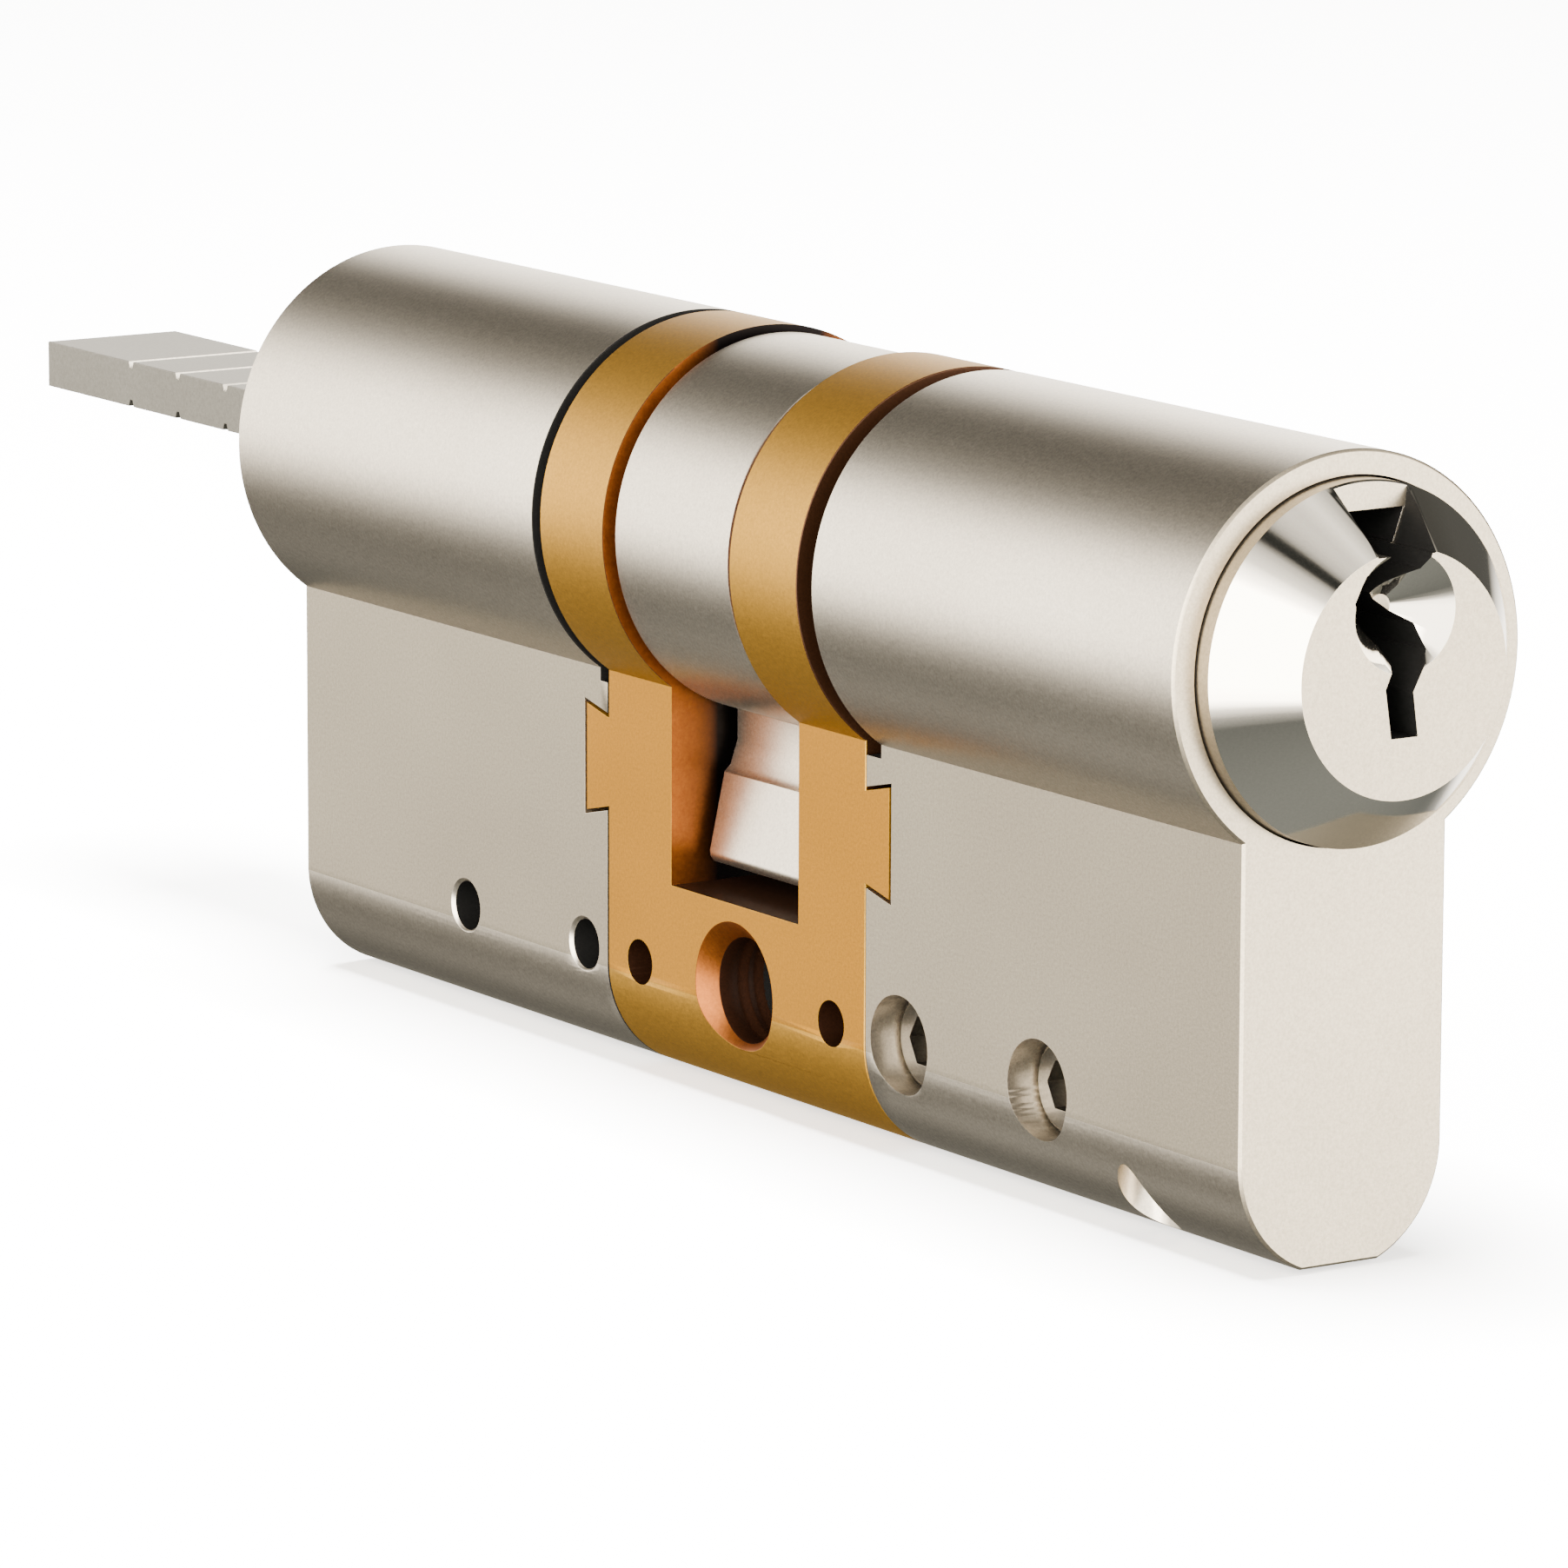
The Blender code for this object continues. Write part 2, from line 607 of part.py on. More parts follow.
def clip(name, low, high):
    """A C-shaped retaining clip, open at the bottom."""
    made = ring_profile(CLIP_D / 2, CLIP_GROOVE_D / 2 + CLIP_FIT, low, high, name=name + "_blank")
    cut(made, box(name + "_mouth", (low - 1, high + 1), (-4.0, 4.0), (-CLIP_D, -2.0)))
    return finish(made, name, SPRING_STEEL, 0.35)


clip("plug_clip", clip_mid_front - CLIP_W / 2, clip_mid_front + CLIP_W / 2)

# ---- cam ----
cam_r = CAM_D / 2
hub_r = CAM_HUB_D / 2
cam_half = CAM_W / 2
cam = turned(
    "cam",
    (
        (-CAM_HUB_END, hub_r), (-cam_half, hub_r), (-cam_half, cam_r),
        (cam_half, cam_r), (cam_half, hub_r), (CAM_HUB_END, hub_r),
    ),
)
root_half = LOBE_ROOT_W / 2
tip_half = LOBE_TIP_W / 2
half_lobe = [
    (root_half, -5.0), (root_half, -LOBE_SHOULDER + 1.2), (root_half + 0.3, -LOBE_SHOULDER + 0.15),
    (root_half + 0.66, -LOBE_SHOULDER - 0.15), (tip_half, -LOBE_REACH + 0.75),
    (tip_half - 0.2, -LOBE_REACH + 0.25), (1.6, -LOBE_REACH),
]
lobe = [(-y, z) for y, z in half_lobe] + half_lobe[::-1]
join(cam, prism("lobe", lobe, "X", -cam_half, cam_half))
cut(
    cam,
    rod("cam_bore", CAM_BORE_D / 2, -CAM_HUB_END - 1, CAM_HUB_END + 1, sides=32),
    box(
        "cam_slot", (-CAM_HUB_END - 1, CAM_HUB_END + 1), (-CAM_SLOT_W / 2, CAM_SLOT_W / 2),
        (-CAM_SLOT_H / 2, CAM_SLOT_H / 2),
    ),
)
finish(cam, "cam", NICKEL, 0.32)

# ---- rotor on the tail side, with a tenon that drives the cam ----
rotor_front = -PLUG_REAR
rotor = turned(
    "rotor",
    (
        (-TAIL_SIDE + ROTOR_REAR, PLUG_R - 0.3), (-TAIL_SIDE + ROTOR_REAR + 0.3, PLUG_R),
        (rotor_front - 0.3, PLUG_R), (rotor_front, PLUG_R - 0.3),
    ),
)
clip_mid_back = -BRIDGE_HALF - TAIL_RELIEF / 2
join(
    rotor,
    box(
        "tenon", (rotor_front - 1, rotor_front + TENON_LEN), (-CLUTCH_W / 2, CLUTCH_W / 2),
        (-CLUTCH_H / 2, CLUTCH_H / 2),
    ),
)
cut(
    rotor,
    ring_profile(
        PLUG_R + 1, CLIP_GROOVE_D / 2, clip_mid_back - ROTOR_CLIP_W / 2 - CLIP_FIT / 2,
        clip_mid_back + ROTOR_CLIP_W / 2 + CLIP_FIT / 2, name="rotor_groove",
    ),
    box(
        "blade_slot", (-TAIL_SIDE - 1, -BLADE_ROOT + BLADE_FIT),
        (-BLADE_W / 2 - BLADE_FIT, BLADE_W / 2 + BLADE_FIT),
        (-BLADE_T / 2 - BLADE_FIT, BLADE_T / 2 + BLADE_FIT),
    ),
    rod(
        "rotor_pin_hole", BLADE_PIN_D / 2 + PRESS_FIT, -PLUG_R - 1, PLUG_R + 1,
        "Z", (BLADE_PIN_X, 0, 0), SMALL_ROUND,
    ),
)
finish(rotor, "rotor", STEEL, 0.35)
clip("rotor_clip", clip_mid_back - ROTOR_CLIP_W / 2, clip_mid_back + ROTOR_CLIP_W / 2)

# ---- tail blade, scored so that it can be snapped to length ----
blade = box("tail_blade", (-BLADE_END, -BLADE_ROOT), (-BLADE_W / 2, BLADE_W / 2), (-BLADE_T / 2, BLADE_T / 2))
for k in range(SCORE_COUNT):
    x = -SCORE_LAST + SCORE_PITCH * k
    for side in (-1, 1):
        face = side * BLADE_T / 2
        notch = (
            (x - SCORE_W / 2, face + side * 0.1), (x + SCORE_W / 2, face + side * 0.1),
            (x + SCORE_W / 4, face - side * SCORE_DEPTH), (x - SCORE_W / 4, face - side * SCORE_DEPTH),
        )
        cut(blade, prism(f"score_{k}_{side}", notch, "Y", -BLADE_W, BLADE_W))
cut(blade, rod("blade_pin_hole", BLADE_PIN_D / 2 + PRESS_FIT, -2, 2, "Z", (BLADE_PIN_X, 0, 0), SMALL_ROUND))
finish(blade, "tail_blade", NICKEL, 0.36)
tail_pin = rod(
    "tail_pin", BLADE_PIN_D / 2, -BLADE_PIN_LEN / 2, BLADE_PIN_LEN / 2,
    "Z", (BLADE_PIN_X, 0, 0), SMALL_ROUND,
)
finish(tail_pin, "tail_pin", DARK_STEEL, 0.4)

# ---- clutch between plug and cam ----
clutch = box(
    "clutch_slider", (CLUTCH_TIP, CLUTCH_TIP + CLUTCH_LEN), (-CLUTCH_W / 2, CLUTCH_W / 2),
    (-CLUTCH_H / 2, CLUTCH_H / 2),
)
bevel(clutch, 0.25)
finish(clutch, "clutch_slider", STEEL, 0.3)


def coil(name, radius, wire, turns, low, high, along, centre):
    """A compression spring with closed ends."""
    steps = 10
    curve = bpy.data.curves.new(name, "CURVE")
    curve.dimensions = "3D"
    curve.bevel_depth = wire / 2 * MM
    curve.bevel_resolution = 0
    curve.use_fill_caps = True
    strand = curve.splines.new("POLY")
    count = int(turns * steps)
    strand.points.add(count)
    for k in range(count + 1):
        a = 2 * math.pi * k / steps
        t = low + wire / 2 + (high - low - wire) * k / count
        spot = Vector((t, radius * math.cos(a), radius * math.sin(a)))
        if along == "Z":
            spot = Vector((-spot.z, spot.y, spot.x))
        strand.points[k].co = (*(spot * MM), 1.0)
    made = bpy.data.objects.new(name, curve)
    CUTTERS.objects.link(made)
    graph = bpy.context.evaluated_depsgraph_get()
    mesh = bpy.data.meshes.new_from_object(made.evaluated_get(graph))
    bpy.data.objects.remove(made, do_unlink=True)
    solid = link(name, mesh, CUTTERS)
    solid.location = at_axis(*centre)
    return finish(solid, name, SPRING_STEEL, 0.3)


tenon_end = rotor_front + TENON_LEN
coil(
    "clutch_spring", CAM_BORE_D / 2 - 0.75, 0.5, 5.0, tenon_end + 0.06, CLUTCH_TIP - 0.06, "X", (0, 0, 0),
)

# ---- pin stacks ----
pin_r = CHAMBER_D / 2 - PIN_FIT
shear_z = -math.sqrt(PLUG_R ** 2 - pin_r ** 2) + 0.02
spring_low = -CHAMBER_FLOOR + CHAMBER_PLUG_H + 0.06
for i, x in enumerate(STACK_X):
    length = KEY_PIN_LENGTHS[i]
    key_pin = turned(
        "key_pin",
        (
            (shear_z, pin_r - 0.1), (shear_z + 0.15, pin_r),
            (shear_z + length - 0.8, pin_r), (shear_z + length, 0.45),
        ),
        "Z", (x, 0, 0), SMALL_ROUND,
    )
    finish(key_pin, f"key_pin_{i + 1}", BRASS, 0.3)
    low = DRIVER_TOP - DRIVER_LEN
    waist = pin_r - DRIVER_WAIST
    driver = turned(
        "driver_pin",
        (
            (low, pin_r - 0.1), (low + 0.15, pin_r), (low + 0.9, pin_r), (low + 1.0, waist),
            (DRIVER_TOP - 1.0, waist), (DRIVER_TOP - 0.9, pin_r),
            (DRIVER_TOP - 0.15, pin_r), (DRIVER_TOP, pin_r - 0.15),
        ),
        "Z", (x, 0, 0), SMALL_ROUND,
    )
    finish(driver, f"driver_pin_{i + 1}", STEEL, 0.3)
    coil(
        f"pin_spring_{i + 1}", SPRING_D / 2 - SPRING_WIRE / 2, SPRING_WIRE, SPRING_TURNS,
        spring_low, low - 0.06, "Z", (x, 0, 0),
    )
    disc = rod(
        "chamber_plug", CHAMBER_D / 2 - PRESS_FIT, -CHAMBER_FLOOR + 0.05,
        -CHAMBER_FLOOR + CHAMBER_PLUG_H, "Z", (x, 0, 0), SMALL_ROUND,
    )
    finish(disc, f"chamber_plug_{i + 1}", BRASS, 0.35)
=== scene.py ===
"""Studio scene of a modular Euro-profile lock cylinder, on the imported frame.

Sizes are in millimetres in the frame's axes: +X to the key side, +Z up. The plug axis is
at y = 0 and z = AXIS, and helpers take z measured from it.
"""
import json
import math

import bmesh
import bpy
from mathutils import Matrix, Vector


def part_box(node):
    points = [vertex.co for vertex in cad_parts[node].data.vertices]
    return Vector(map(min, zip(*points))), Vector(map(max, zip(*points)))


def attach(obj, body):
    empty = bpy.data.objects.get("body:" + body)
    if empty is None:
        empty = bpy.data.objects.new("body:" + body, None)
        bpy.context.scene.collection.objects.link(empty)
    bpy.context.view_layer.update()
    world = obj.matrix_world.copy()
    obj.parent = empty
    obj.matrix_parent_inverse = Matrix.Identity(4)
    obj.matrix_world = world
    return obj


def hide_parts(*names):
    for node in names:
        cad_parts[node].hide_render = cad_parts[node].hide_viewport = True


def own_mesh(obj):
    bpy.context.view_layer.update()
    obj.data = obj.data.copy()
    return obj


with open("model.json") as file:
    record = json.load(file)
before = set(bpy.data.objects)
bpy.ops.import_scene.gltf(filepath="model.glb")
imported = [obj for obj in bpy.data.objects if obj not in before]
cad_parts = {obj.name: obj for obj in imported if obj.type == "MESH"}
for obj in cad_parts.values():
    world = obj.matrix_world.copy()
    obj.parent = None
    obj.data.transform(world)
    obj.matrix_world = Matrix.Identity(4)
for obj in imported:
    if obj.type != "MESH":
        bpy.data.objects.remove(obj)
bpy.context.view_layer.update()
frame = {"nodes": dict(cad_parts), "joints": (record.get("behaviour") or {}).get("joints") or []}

MM = 0.001


def span(node, axis):
    """A CAD node's (low, high) along an axis, in millimetres."""
    low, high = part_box(node)
    return low[axis] / MM, high[axis] / MM


def size(node, axis):
    """A CAD node's length along an axis, in millimetres."""
    low, high = span(node, axis)
    return high - low


def middle(node, axis):
    """The middle of a CAD node along an axis, in millimetres."""
    low, high = span(node, axis)
    return (low + high) / 2


JOINTS = {joint["name"]: joint for joint in frame["joints"]}

# ---- sizes read from the frame ----
AXIS = JOINTS["cam_turn"]["pos_m"][2] / MM
BARREL_R = span("front_body", 2)[1] - AXIS
BOTTOM = span("front_body", 2)[0] - AXIS
KEY_END = span("front_body", 0)[1]
FRONT_WEB_X = span("front_body", 0)[0]
TAIL_END = span("back_body", 0)[0]
BACK_WEB_X = span("back_body", 0)[1]
TONGUE_TIP = span("bridge", 0)[1]
CAM_HUB = span("cam", 0)[1]
CAM_R = span("cam", 2)[1] - AXIS
LOBE_END = span("cam", 2)[0] - AXIS
FACE_X = span("front_plug", 0)[1]
PLUG_REAR = span("front_plug", 0)[0]
HEAD_R = size("front_plug", 1) / 2
PLUG_R = size("rotor", 1) / 2
ROTOR_X = span("rotor", 0)
STACK_X = [middle(f"key_pin_{k}", 0) for k in range(1, 6)]
BLADE_X = span("tail_blade", 0)
BLADE_HALF = size("tail_blade", 1) / 2
BLADE_T = size("tail_blade", 2)
GRUB_X = [middle(f"grub_screw_{k}", 0) for k in (1, 2)]
GRUB_Y = [span(f"grub_screw_{k}", 1) for k in (1, 2)]
GRUB_R = size("grub_screw_1", 0) / 2
ROW_Z = middle("grub_screw_1", 2) - AXIS
BODY_PIN_X = [middle(f"body_cross_pin_{k}", 0) for k in (1, 2)]
BODY_PIN_R = size("body_cross_pin_1", 0) / 2
BRIDGE_PIN_X = [middle(f"bridge_cross_pin_{k}", 0) for k in (1, 2)]
BRIDGE_PIN_R = size("bridge_cross_pin_1", 0) / 2
DRILL_X = middle("anti_drill_pin_near", 0)
DRILL_Y = middle("anti_drill_pin_far", 1)
DRILL_R = size("anti_drill_pin_near", 0) / 2
DRILL_Z = tuple(z - AXIS for z in span("anti_drill_pin_near", 2))

# ---- sizes of the visible detail ----
WEB_HALF = 5.0
FOOT_R = 5.0
FOOT_FLAT = 1.9
BRIDGE_HALF = 10.14
WINDOW_HALF = 5.03
WINDOW_FLOOR = -15.59
RING_BORE_R = 6.65
BORE_R = 6.45
STEP_Z = -7.47
FRONT_BARREL_X = 11.28
BACK_BARREL_X = -10.78
TONGUE_TOP = -9.0
TONGUE_FOOT = -12.95
TONGUE_FLARE = 0.4
SOCKET_GAP = 0.17
SEAT_R = 7.48
SEAT_DEPTH = 2.25
FIX_R = 2.3
FIX_SINK_R = 3.05
FIX_SINK_DEPTH = 0.75
THREAD_PITCH = 0.8
THREAD_DEPTH = 0.12
BODY_HOLE_SINK = 0.15
HEAD_BAND = 0.8
FACE_R = 5.0
FUNNEL_R = 2.45
FUNNEL_RISE = 2.5
FUNNEL_DEPTH = 1.7
NOSE_SLOT = ((-1.35, 4.75), (1.45, 4.75), (2.0, 6.25), (2.1, 7.3), (-1.5, 7.3))
NOSE_POCKET = ((-1.3, 4.8), (1.4, 4.8), (1.93, 6.2), (-1.38, 6.2))
NOSE_POCKET_DEPTH = 7.5
CAM_HALF = 4.45
CAM_HUB_R = 6.45
SCORE_FIRST = -55.28
SCORE_PITCH = 4.5
SCORE_COUNT = 4
SCORE_HALF_W = 0.25
SCORE_FLOOR_HALF_W = 0.1
SCORE_DEPTH = 0.3
SCORE_PAST = 0.1
POCKET_END = 14.18
SLOT_HALF_W = 1.55
SLOT_HALF_H = 4.65
CHAMBER_R = 1.5
CLIP_GROOVE = (10.31, 11.11)
ROTOR_GROOVE = (-10.73, -10.19)
CLIP_GROOVE_R = 5.6
CHAMBER_TOP = 1.1
KEYWAY_SHORT = 6.0
PLUG_CHAMFER = 0.3
HEAD_BACK = 2.1
ROTOR_FIT = 0.1
ROTOR_PIN_R = 0.83
CAM_BORE_R = 3.7
SPRING_WIRE = 0.34
SPRING_TURNS = 5
COIL_STEPS = 20
WIRE_SIDES = 8
HOLE_FIT = 0.03
GRUB_FIT = 0.06
GRUB_HOLE_END = -1.4
SINK_PAST = 0.6
SOCKET_AF = 2.0
SOCKET_DEPTH = 1.1
FINE = 160
MEDIUM = 64
EDGE = 0.09

KEYWAY = (
    (0.65, 5.3), (1.35, 4.9), (1.05, 4.1), (-0.9, 3.2), (1.15, 1.85), (1.3, 0.9),
    (0.45, -0.7), (0.7, -2.5), (-0.6, -2.5), (-0.9, -0.5), (-0.5, 0.4), (-0.75, 1.15),
    (-2.2, 2.3), (-2.45, 3.05), (-1.9, 4.1), (-0.7, 4.7), (-0.45, 5.3),
)

HALF_LOBE = (
    (2.0, -5.0), (2.0, -9.35), (2.35, -10.4), (2.66, -10.7), (3.4, -14.1), (3.38, -14.35),
    (3.2, -14.6), (2.2, -14.78), (1.1, LOBE_END),
)

workshop = bpy.data.collections.new("cutters")


# ---- materials ----
class Nodes:
    """A short way to wire a material's nodes."""

    def __init__(self, name):
        self.material = bpy.data.materials.new(name)
        self.material.use_nodes = True
        self.tree = self.material.node_tree
        self.shader = self.tree.nodes["Principled BSDF"]

    def add(self, kind, **values):
        made = self.tree.nodes.new(kind)
        for key, value in values.items():
            if key in made.inputs:
                made.inputs[key].default_value = value
            else:
                setattr(made, key, value)
        return made

    def wire(self, source, target):
        self.tree.links.new(source, target)

    def spots(self, stretch):
        """Object coordinates in millimetres, squeezed along each axis."""
        coords = self.add("ShaderNodeTexCoord")
        place = self.add("ShaderNodeMapping")
        place.inputs["Scale"].default_value = [s / MM for s in stretch]
        self.wire(coords.outputs["Object"], place.inputs["Vector"])
        return place.outputs["Vector"]

    def noise(self, stretch, detail=3.0, roughness=0.55):
        made = self.add("ShaderNodeTexNoise", Scale=1.0, Detail=detail, Roughness=roughness)
        self.wire(self.spots(stretch), made.inputs["Vector"])
        return made.outputs["Fac"]

    def spread(self, fac, low, high, start=0.3, end=0.7):
        made = self.add("ShaderNodeMapRange")
        made.inputs["From Min"].default_value = start
        made.inputs["From Max"].default_value = end
        made.inputs["To Min"].default_value = low
        made.inputs["To Max"].default_value = high
        self.wire(fac, made.inputs["Value"])
        return made.outputs["Result"]

    def tint(self, fac, dark, light):
        made = self.add("ShaderNodeMix", data_type="RGBA")
        made.inputs[6].default_value = (*dark, 1)
        made.inputs[7].default_value = (*light, 1)
        self.wire(fac, made.inputs[0])
        return made.outputs[2]

    def speckle(self, colour, amount):
        """Fine pale and dark specks of a blasted or plated surface."""
        grit = self.noise((7.0, 7.0, 7.0), 2.0, 0.8)
        gain = self.spread(grit, 1 - amount, 1 + amount, 0.3, 0.7)
        grey = self.add("ShaderNodeCombineXYZ")
        for slot in grey.inputs:
            self.wire(gain, slot)
        made = self.add("ShaderNodeMix", data_type="RGBA", blend_type="MULTIPLY")
        made.inputs[0].default_value = 1.0
        self.wire(colour, made.inputs[6])
        self.wire(grey.outputs[0], made.inputs[7])
        return made.outputs[2]

    def shade(self, colour, low, high):
        """Paint shade onto a colour: darker with its distance in from the sides, in millimetres from the
        mid-plane.
        """
        coords = self.add("ShaderNodeTexCoord")
        parts = self.add("ShaderNodeSeparateXYZ")
        self.wire(coords.outputs["Object"], parts.inputs[0])
        away = self.add("ShaderNodeMath", operation="ABSOLUTE")
        self.wire(parts.outputs[1], away.inputs[0])
        made = self.add("ShaderNodeMix", data_type="RGBA")
        made.inputs[6].default_value = (0.002, 0.001, 0.001, 1)
        self.wire(colour, made.inputs[7])
        self.wire(self.spread(away.outputs[0], 0, 1, low * MM, high * MM), made.inputs[0])
        return made.outputs[2]

    def bump(self, height, strength, distance, after=None):
        made = self.add("ShaderNodeBump", Strength=strength, Distance=distance * MM)
        self.wire(height, made.inputs["Height"])
        if after is not None:
            self.wire(after, made.inputs["Normal"])
        return made.outputs["Normal"]


def metal(
    name, dark, light, rough, grain=(3.0, 14.0, 14.0), fine=0.25, wear=0.025, bump=0.02,
    metallic=1.0, gloss=0.5, painted_shade_span=None, grit=0.14,
):
    """Metal with fine grain, slow colour drift and uneven gloss; given a span, also painted shade that
    darkens inwards from the sides.
    """
    made = Nodes(name)
    shader = made.shader
    shader.inputs["Metallic"].default_value = metallic
    shader.inputs["Specular IOR Level"].default_value = gloss
    drift = made.noise((0.06, 0.09, 0.09), 2.0)
    speck = made.noise(grain, 4.0, 0.65)
    blend = made.add("ShaderNodeMix", data_type="FLOAT")
    blend.inputs[0].default_value = 0.45
    made.wire(drift, blend.inputs[2])
    made.wire(speck, blend.inputs[3])
    colour = made.tint(made.spread(blend.outputs[0], 0, 1, 0.35, 0.65), dark, light)
    colour = made.speckle(colour, grit)
    # painted shade: the colour fades to near black inwards from the sides over the given span from the
    # mid-plane
    if painted_shade_span is not None:
        colour = made.shade(colour, *painted_shade_span)
    made.wire(colour, shader.inputs["Base Color"])
    made.wire(made.spread(speck, rough - wear, rough + wear), shader.inputs["Roughness"])
    tiny = made.noise(tuple(g / fine for g in (2.0, 2.0, 2.0)), 2.0, 0.7)
    first = made.bump(tiny, bump, 0.02)
    made.wire(made.bump(speck, bump, 0.03, first), shader.inputs["Normal"])
    return made.material


SATIN_NICKEL = metal("satin_nickel", (0.63, 0.575, 0.49), (0.70, 0.645, 0.555), 0.30)
# a darker copy of the body's nickel for the web's flat sides: its coarser grain is the finish, its darker
# colour is painted shade
PAINTED_SHADE_WEB_NICKEL = metal(
    "web_nickel_painted_shade", (0.30, 0.268, 0.212), (0.36, 0.322, 0.256), 0.42,
    grain=(9.0, 9.0, 9.0), wear=0.04, bump=0.12,
)
# a darker copy of the body's nickel for the end faces and the head's band: its rougher gloss is the finish,
# its darker colour is painted shade
PAINTED_SHADE_FACE_NICKEL = metal("face_nickel_painted_shade", (0.41, 0.362, 0.282), (0.47, 0.415, 0.325), 0.36)
POLISHED = metal(
    "polished_nickel", (0.82, 0.78, 0.70), (0.88, 0.84, 0.76), 0.06, wear=0.015, bump=0.006, grit=0.02,
)
BRASS = metal("satin_brass", (0.40, 0.214, 0.024), (0.47, 0.254, 0.034), 0.46, wear=0.03, bump=0.04)
BRASS_FACE = metal(
    "brass_face", (0.37, 0.168, 0.009), (0.44, 0.202, 0.013), 0.42,
    grain=(9.0, 9.0, 9.0), wear=0.04, bump=0.10,
)
# brass of the window walls and countersink: its grain along X is the boring; its much darker colour and its
# fade inwards from the sides are painted shade
PAINTED_SHADE_BORED_BRASS = metal(
    "bored_brass_painted_shade", (0.17, 0.048, 0.006), (0.24, 0.072, 0.011), 0.42, grain=(14.0, 3.0, 3.0), metallic=0.9,
    painted_shade_span=(2.6, 4.9),
)
# near-black brass on the ring ends and in the ring bore: painted shade
PAINTED_SHADE_RING_END = metal(
    "ring_end_brass_painted_shade", (0.030, 0.010, 0.003), (0.050, 0.018, 0.006), 0.45, metallic=0.7,
)
# near-black brass in the holes and on the window floor: painted shade
PAINTED_SHADE_BRASS = metal(
    "shaded_brass", (0.010, 0.0035, 0.0015), (0.020, 0.007, 0.003), 0.5, grain=(14.0, 3.0, 3.0), metallic=0.3,
    gloss=0.1,
)
STEEL = metal("steel", (0.12, 0.11, 0.095), (0.17, 0.158, 0.138), 0.3)
SCORE_BRIGHT = metal("score_bright", (0.86, 0.82, 0.74), (0.92, 0.88, 0.80), 0.5)
# black of the pins, clips and bar, and painted shade on the faces in the gaps, holes, the seat and the keyway
BLACK_STEEL_AND_SHADE = metal("black_steel_and_painted_shade", (0.004, 0.004, 0.004), (0.008, 0.008, 0.008), 0.6, metallic=0.0, gloss=0.1)
BLADE_STEEL = metal("blade_steel", (0.16, 0.155, 0.135), (0.20, 0.193, 0.172), 0.36, grain=(4.0, 12.0, 4.0))


# ---- mesh helpers ----
def to_object(bm, name, centre=(0, 0, 0)):
    """Finish a bmesh built in millimetres around a centre given from the plug axis."""
    bmesh.ops.recalc_face_normals(bm, faces=bm.faces)
    shift = Matrix.Translation(Vector((centre[0], centre[1], centre[2] + AXIS)) * MM)
    bmesh.ops.transform(bm, matrix=shift @ Matrix.Scale(MM, 4), verts=bm.verts)
    mesh = bpy.data.meshes.new(name)
    bm.to_mesh(mesh)
    bm.free()
    made = bpy.data.objects.new(name, mesh)
    bpy.context.scene.collection.objects.link(made)
    return made


def loft(name, rings, centre=(0, 0, 0)):
    """Skin closed rings of equal length and cap both ends."""
    bm = bmesh.new()
    loops = [[bm.verts.new(p) for p in ring] for ring in rings]
    for one, two in zip(loops, loops[1:]):
        count = len(one)
        for k in range(count):
            bm.faces.new((one[k], one[(k + 1) % count], two[(k + 1) % count], two[k]))
    bm.faces.new(loops[0])
    bm.faces.new(loops[-1])
    return to_object(bm, name, centre)


ALONG = {
    "X": lambda t, a, b: (t, a, b),
    "Y": lambda t, a, b: (a, t, b),
    "Z": lambda t, a, b: (a, b, t),
}


def prism(name, outline, along, low, high):
    """Extrude an outline: (y, z) along X, or (x, z) along Y, or (x, y) along Z."""
    place = ALONG[along]
    return loft(name, [[place(t, a, b) for a, b in outline] for t in (low, high)])


def box(name, x, y, z):
    """A box from (low, high) pairs."""
    return prism(name, ((y[0], z[0]), (y[1], z[0]), (y[1], z[1]), (y[0], z[1])), "X", *x)


def turned(name, profile, along="X", centre=(0, 0, 0), sides=FINE):
    """Spin (distance, radius) points about an axis."""
    place = ALONG[along]
    angles = [2 * math.pi * (k + 0.5) / sides for k in range(sides)]
    rings = [[place(t, r * math.cos(a), r * math.sin(a)) for a in angles] for t, r in profile]
    return loft(name, rings, centre)


def boolean(target, tool, operation):
    """One exact Boolean with a hidden tool."""
    for held in list(tool.users_collection):
        held.objects.unlink(tool)
    workshop.objects.link(tool)
    step = target.modifiers.new(tool.name, "BOOLEAN")
    step.operation = operation
    step.solver = "EXACT"
    step.object = tool


def cut(target, *tools):
    """Subtract tools."""
    for tool in tools:
        boolean(target, tool, "DIFFERENCE")
    return target


def join(target, *tools):
    """Add tools."""
    for tool in tools:
        boolean(target, tool, "UNION")
    return target


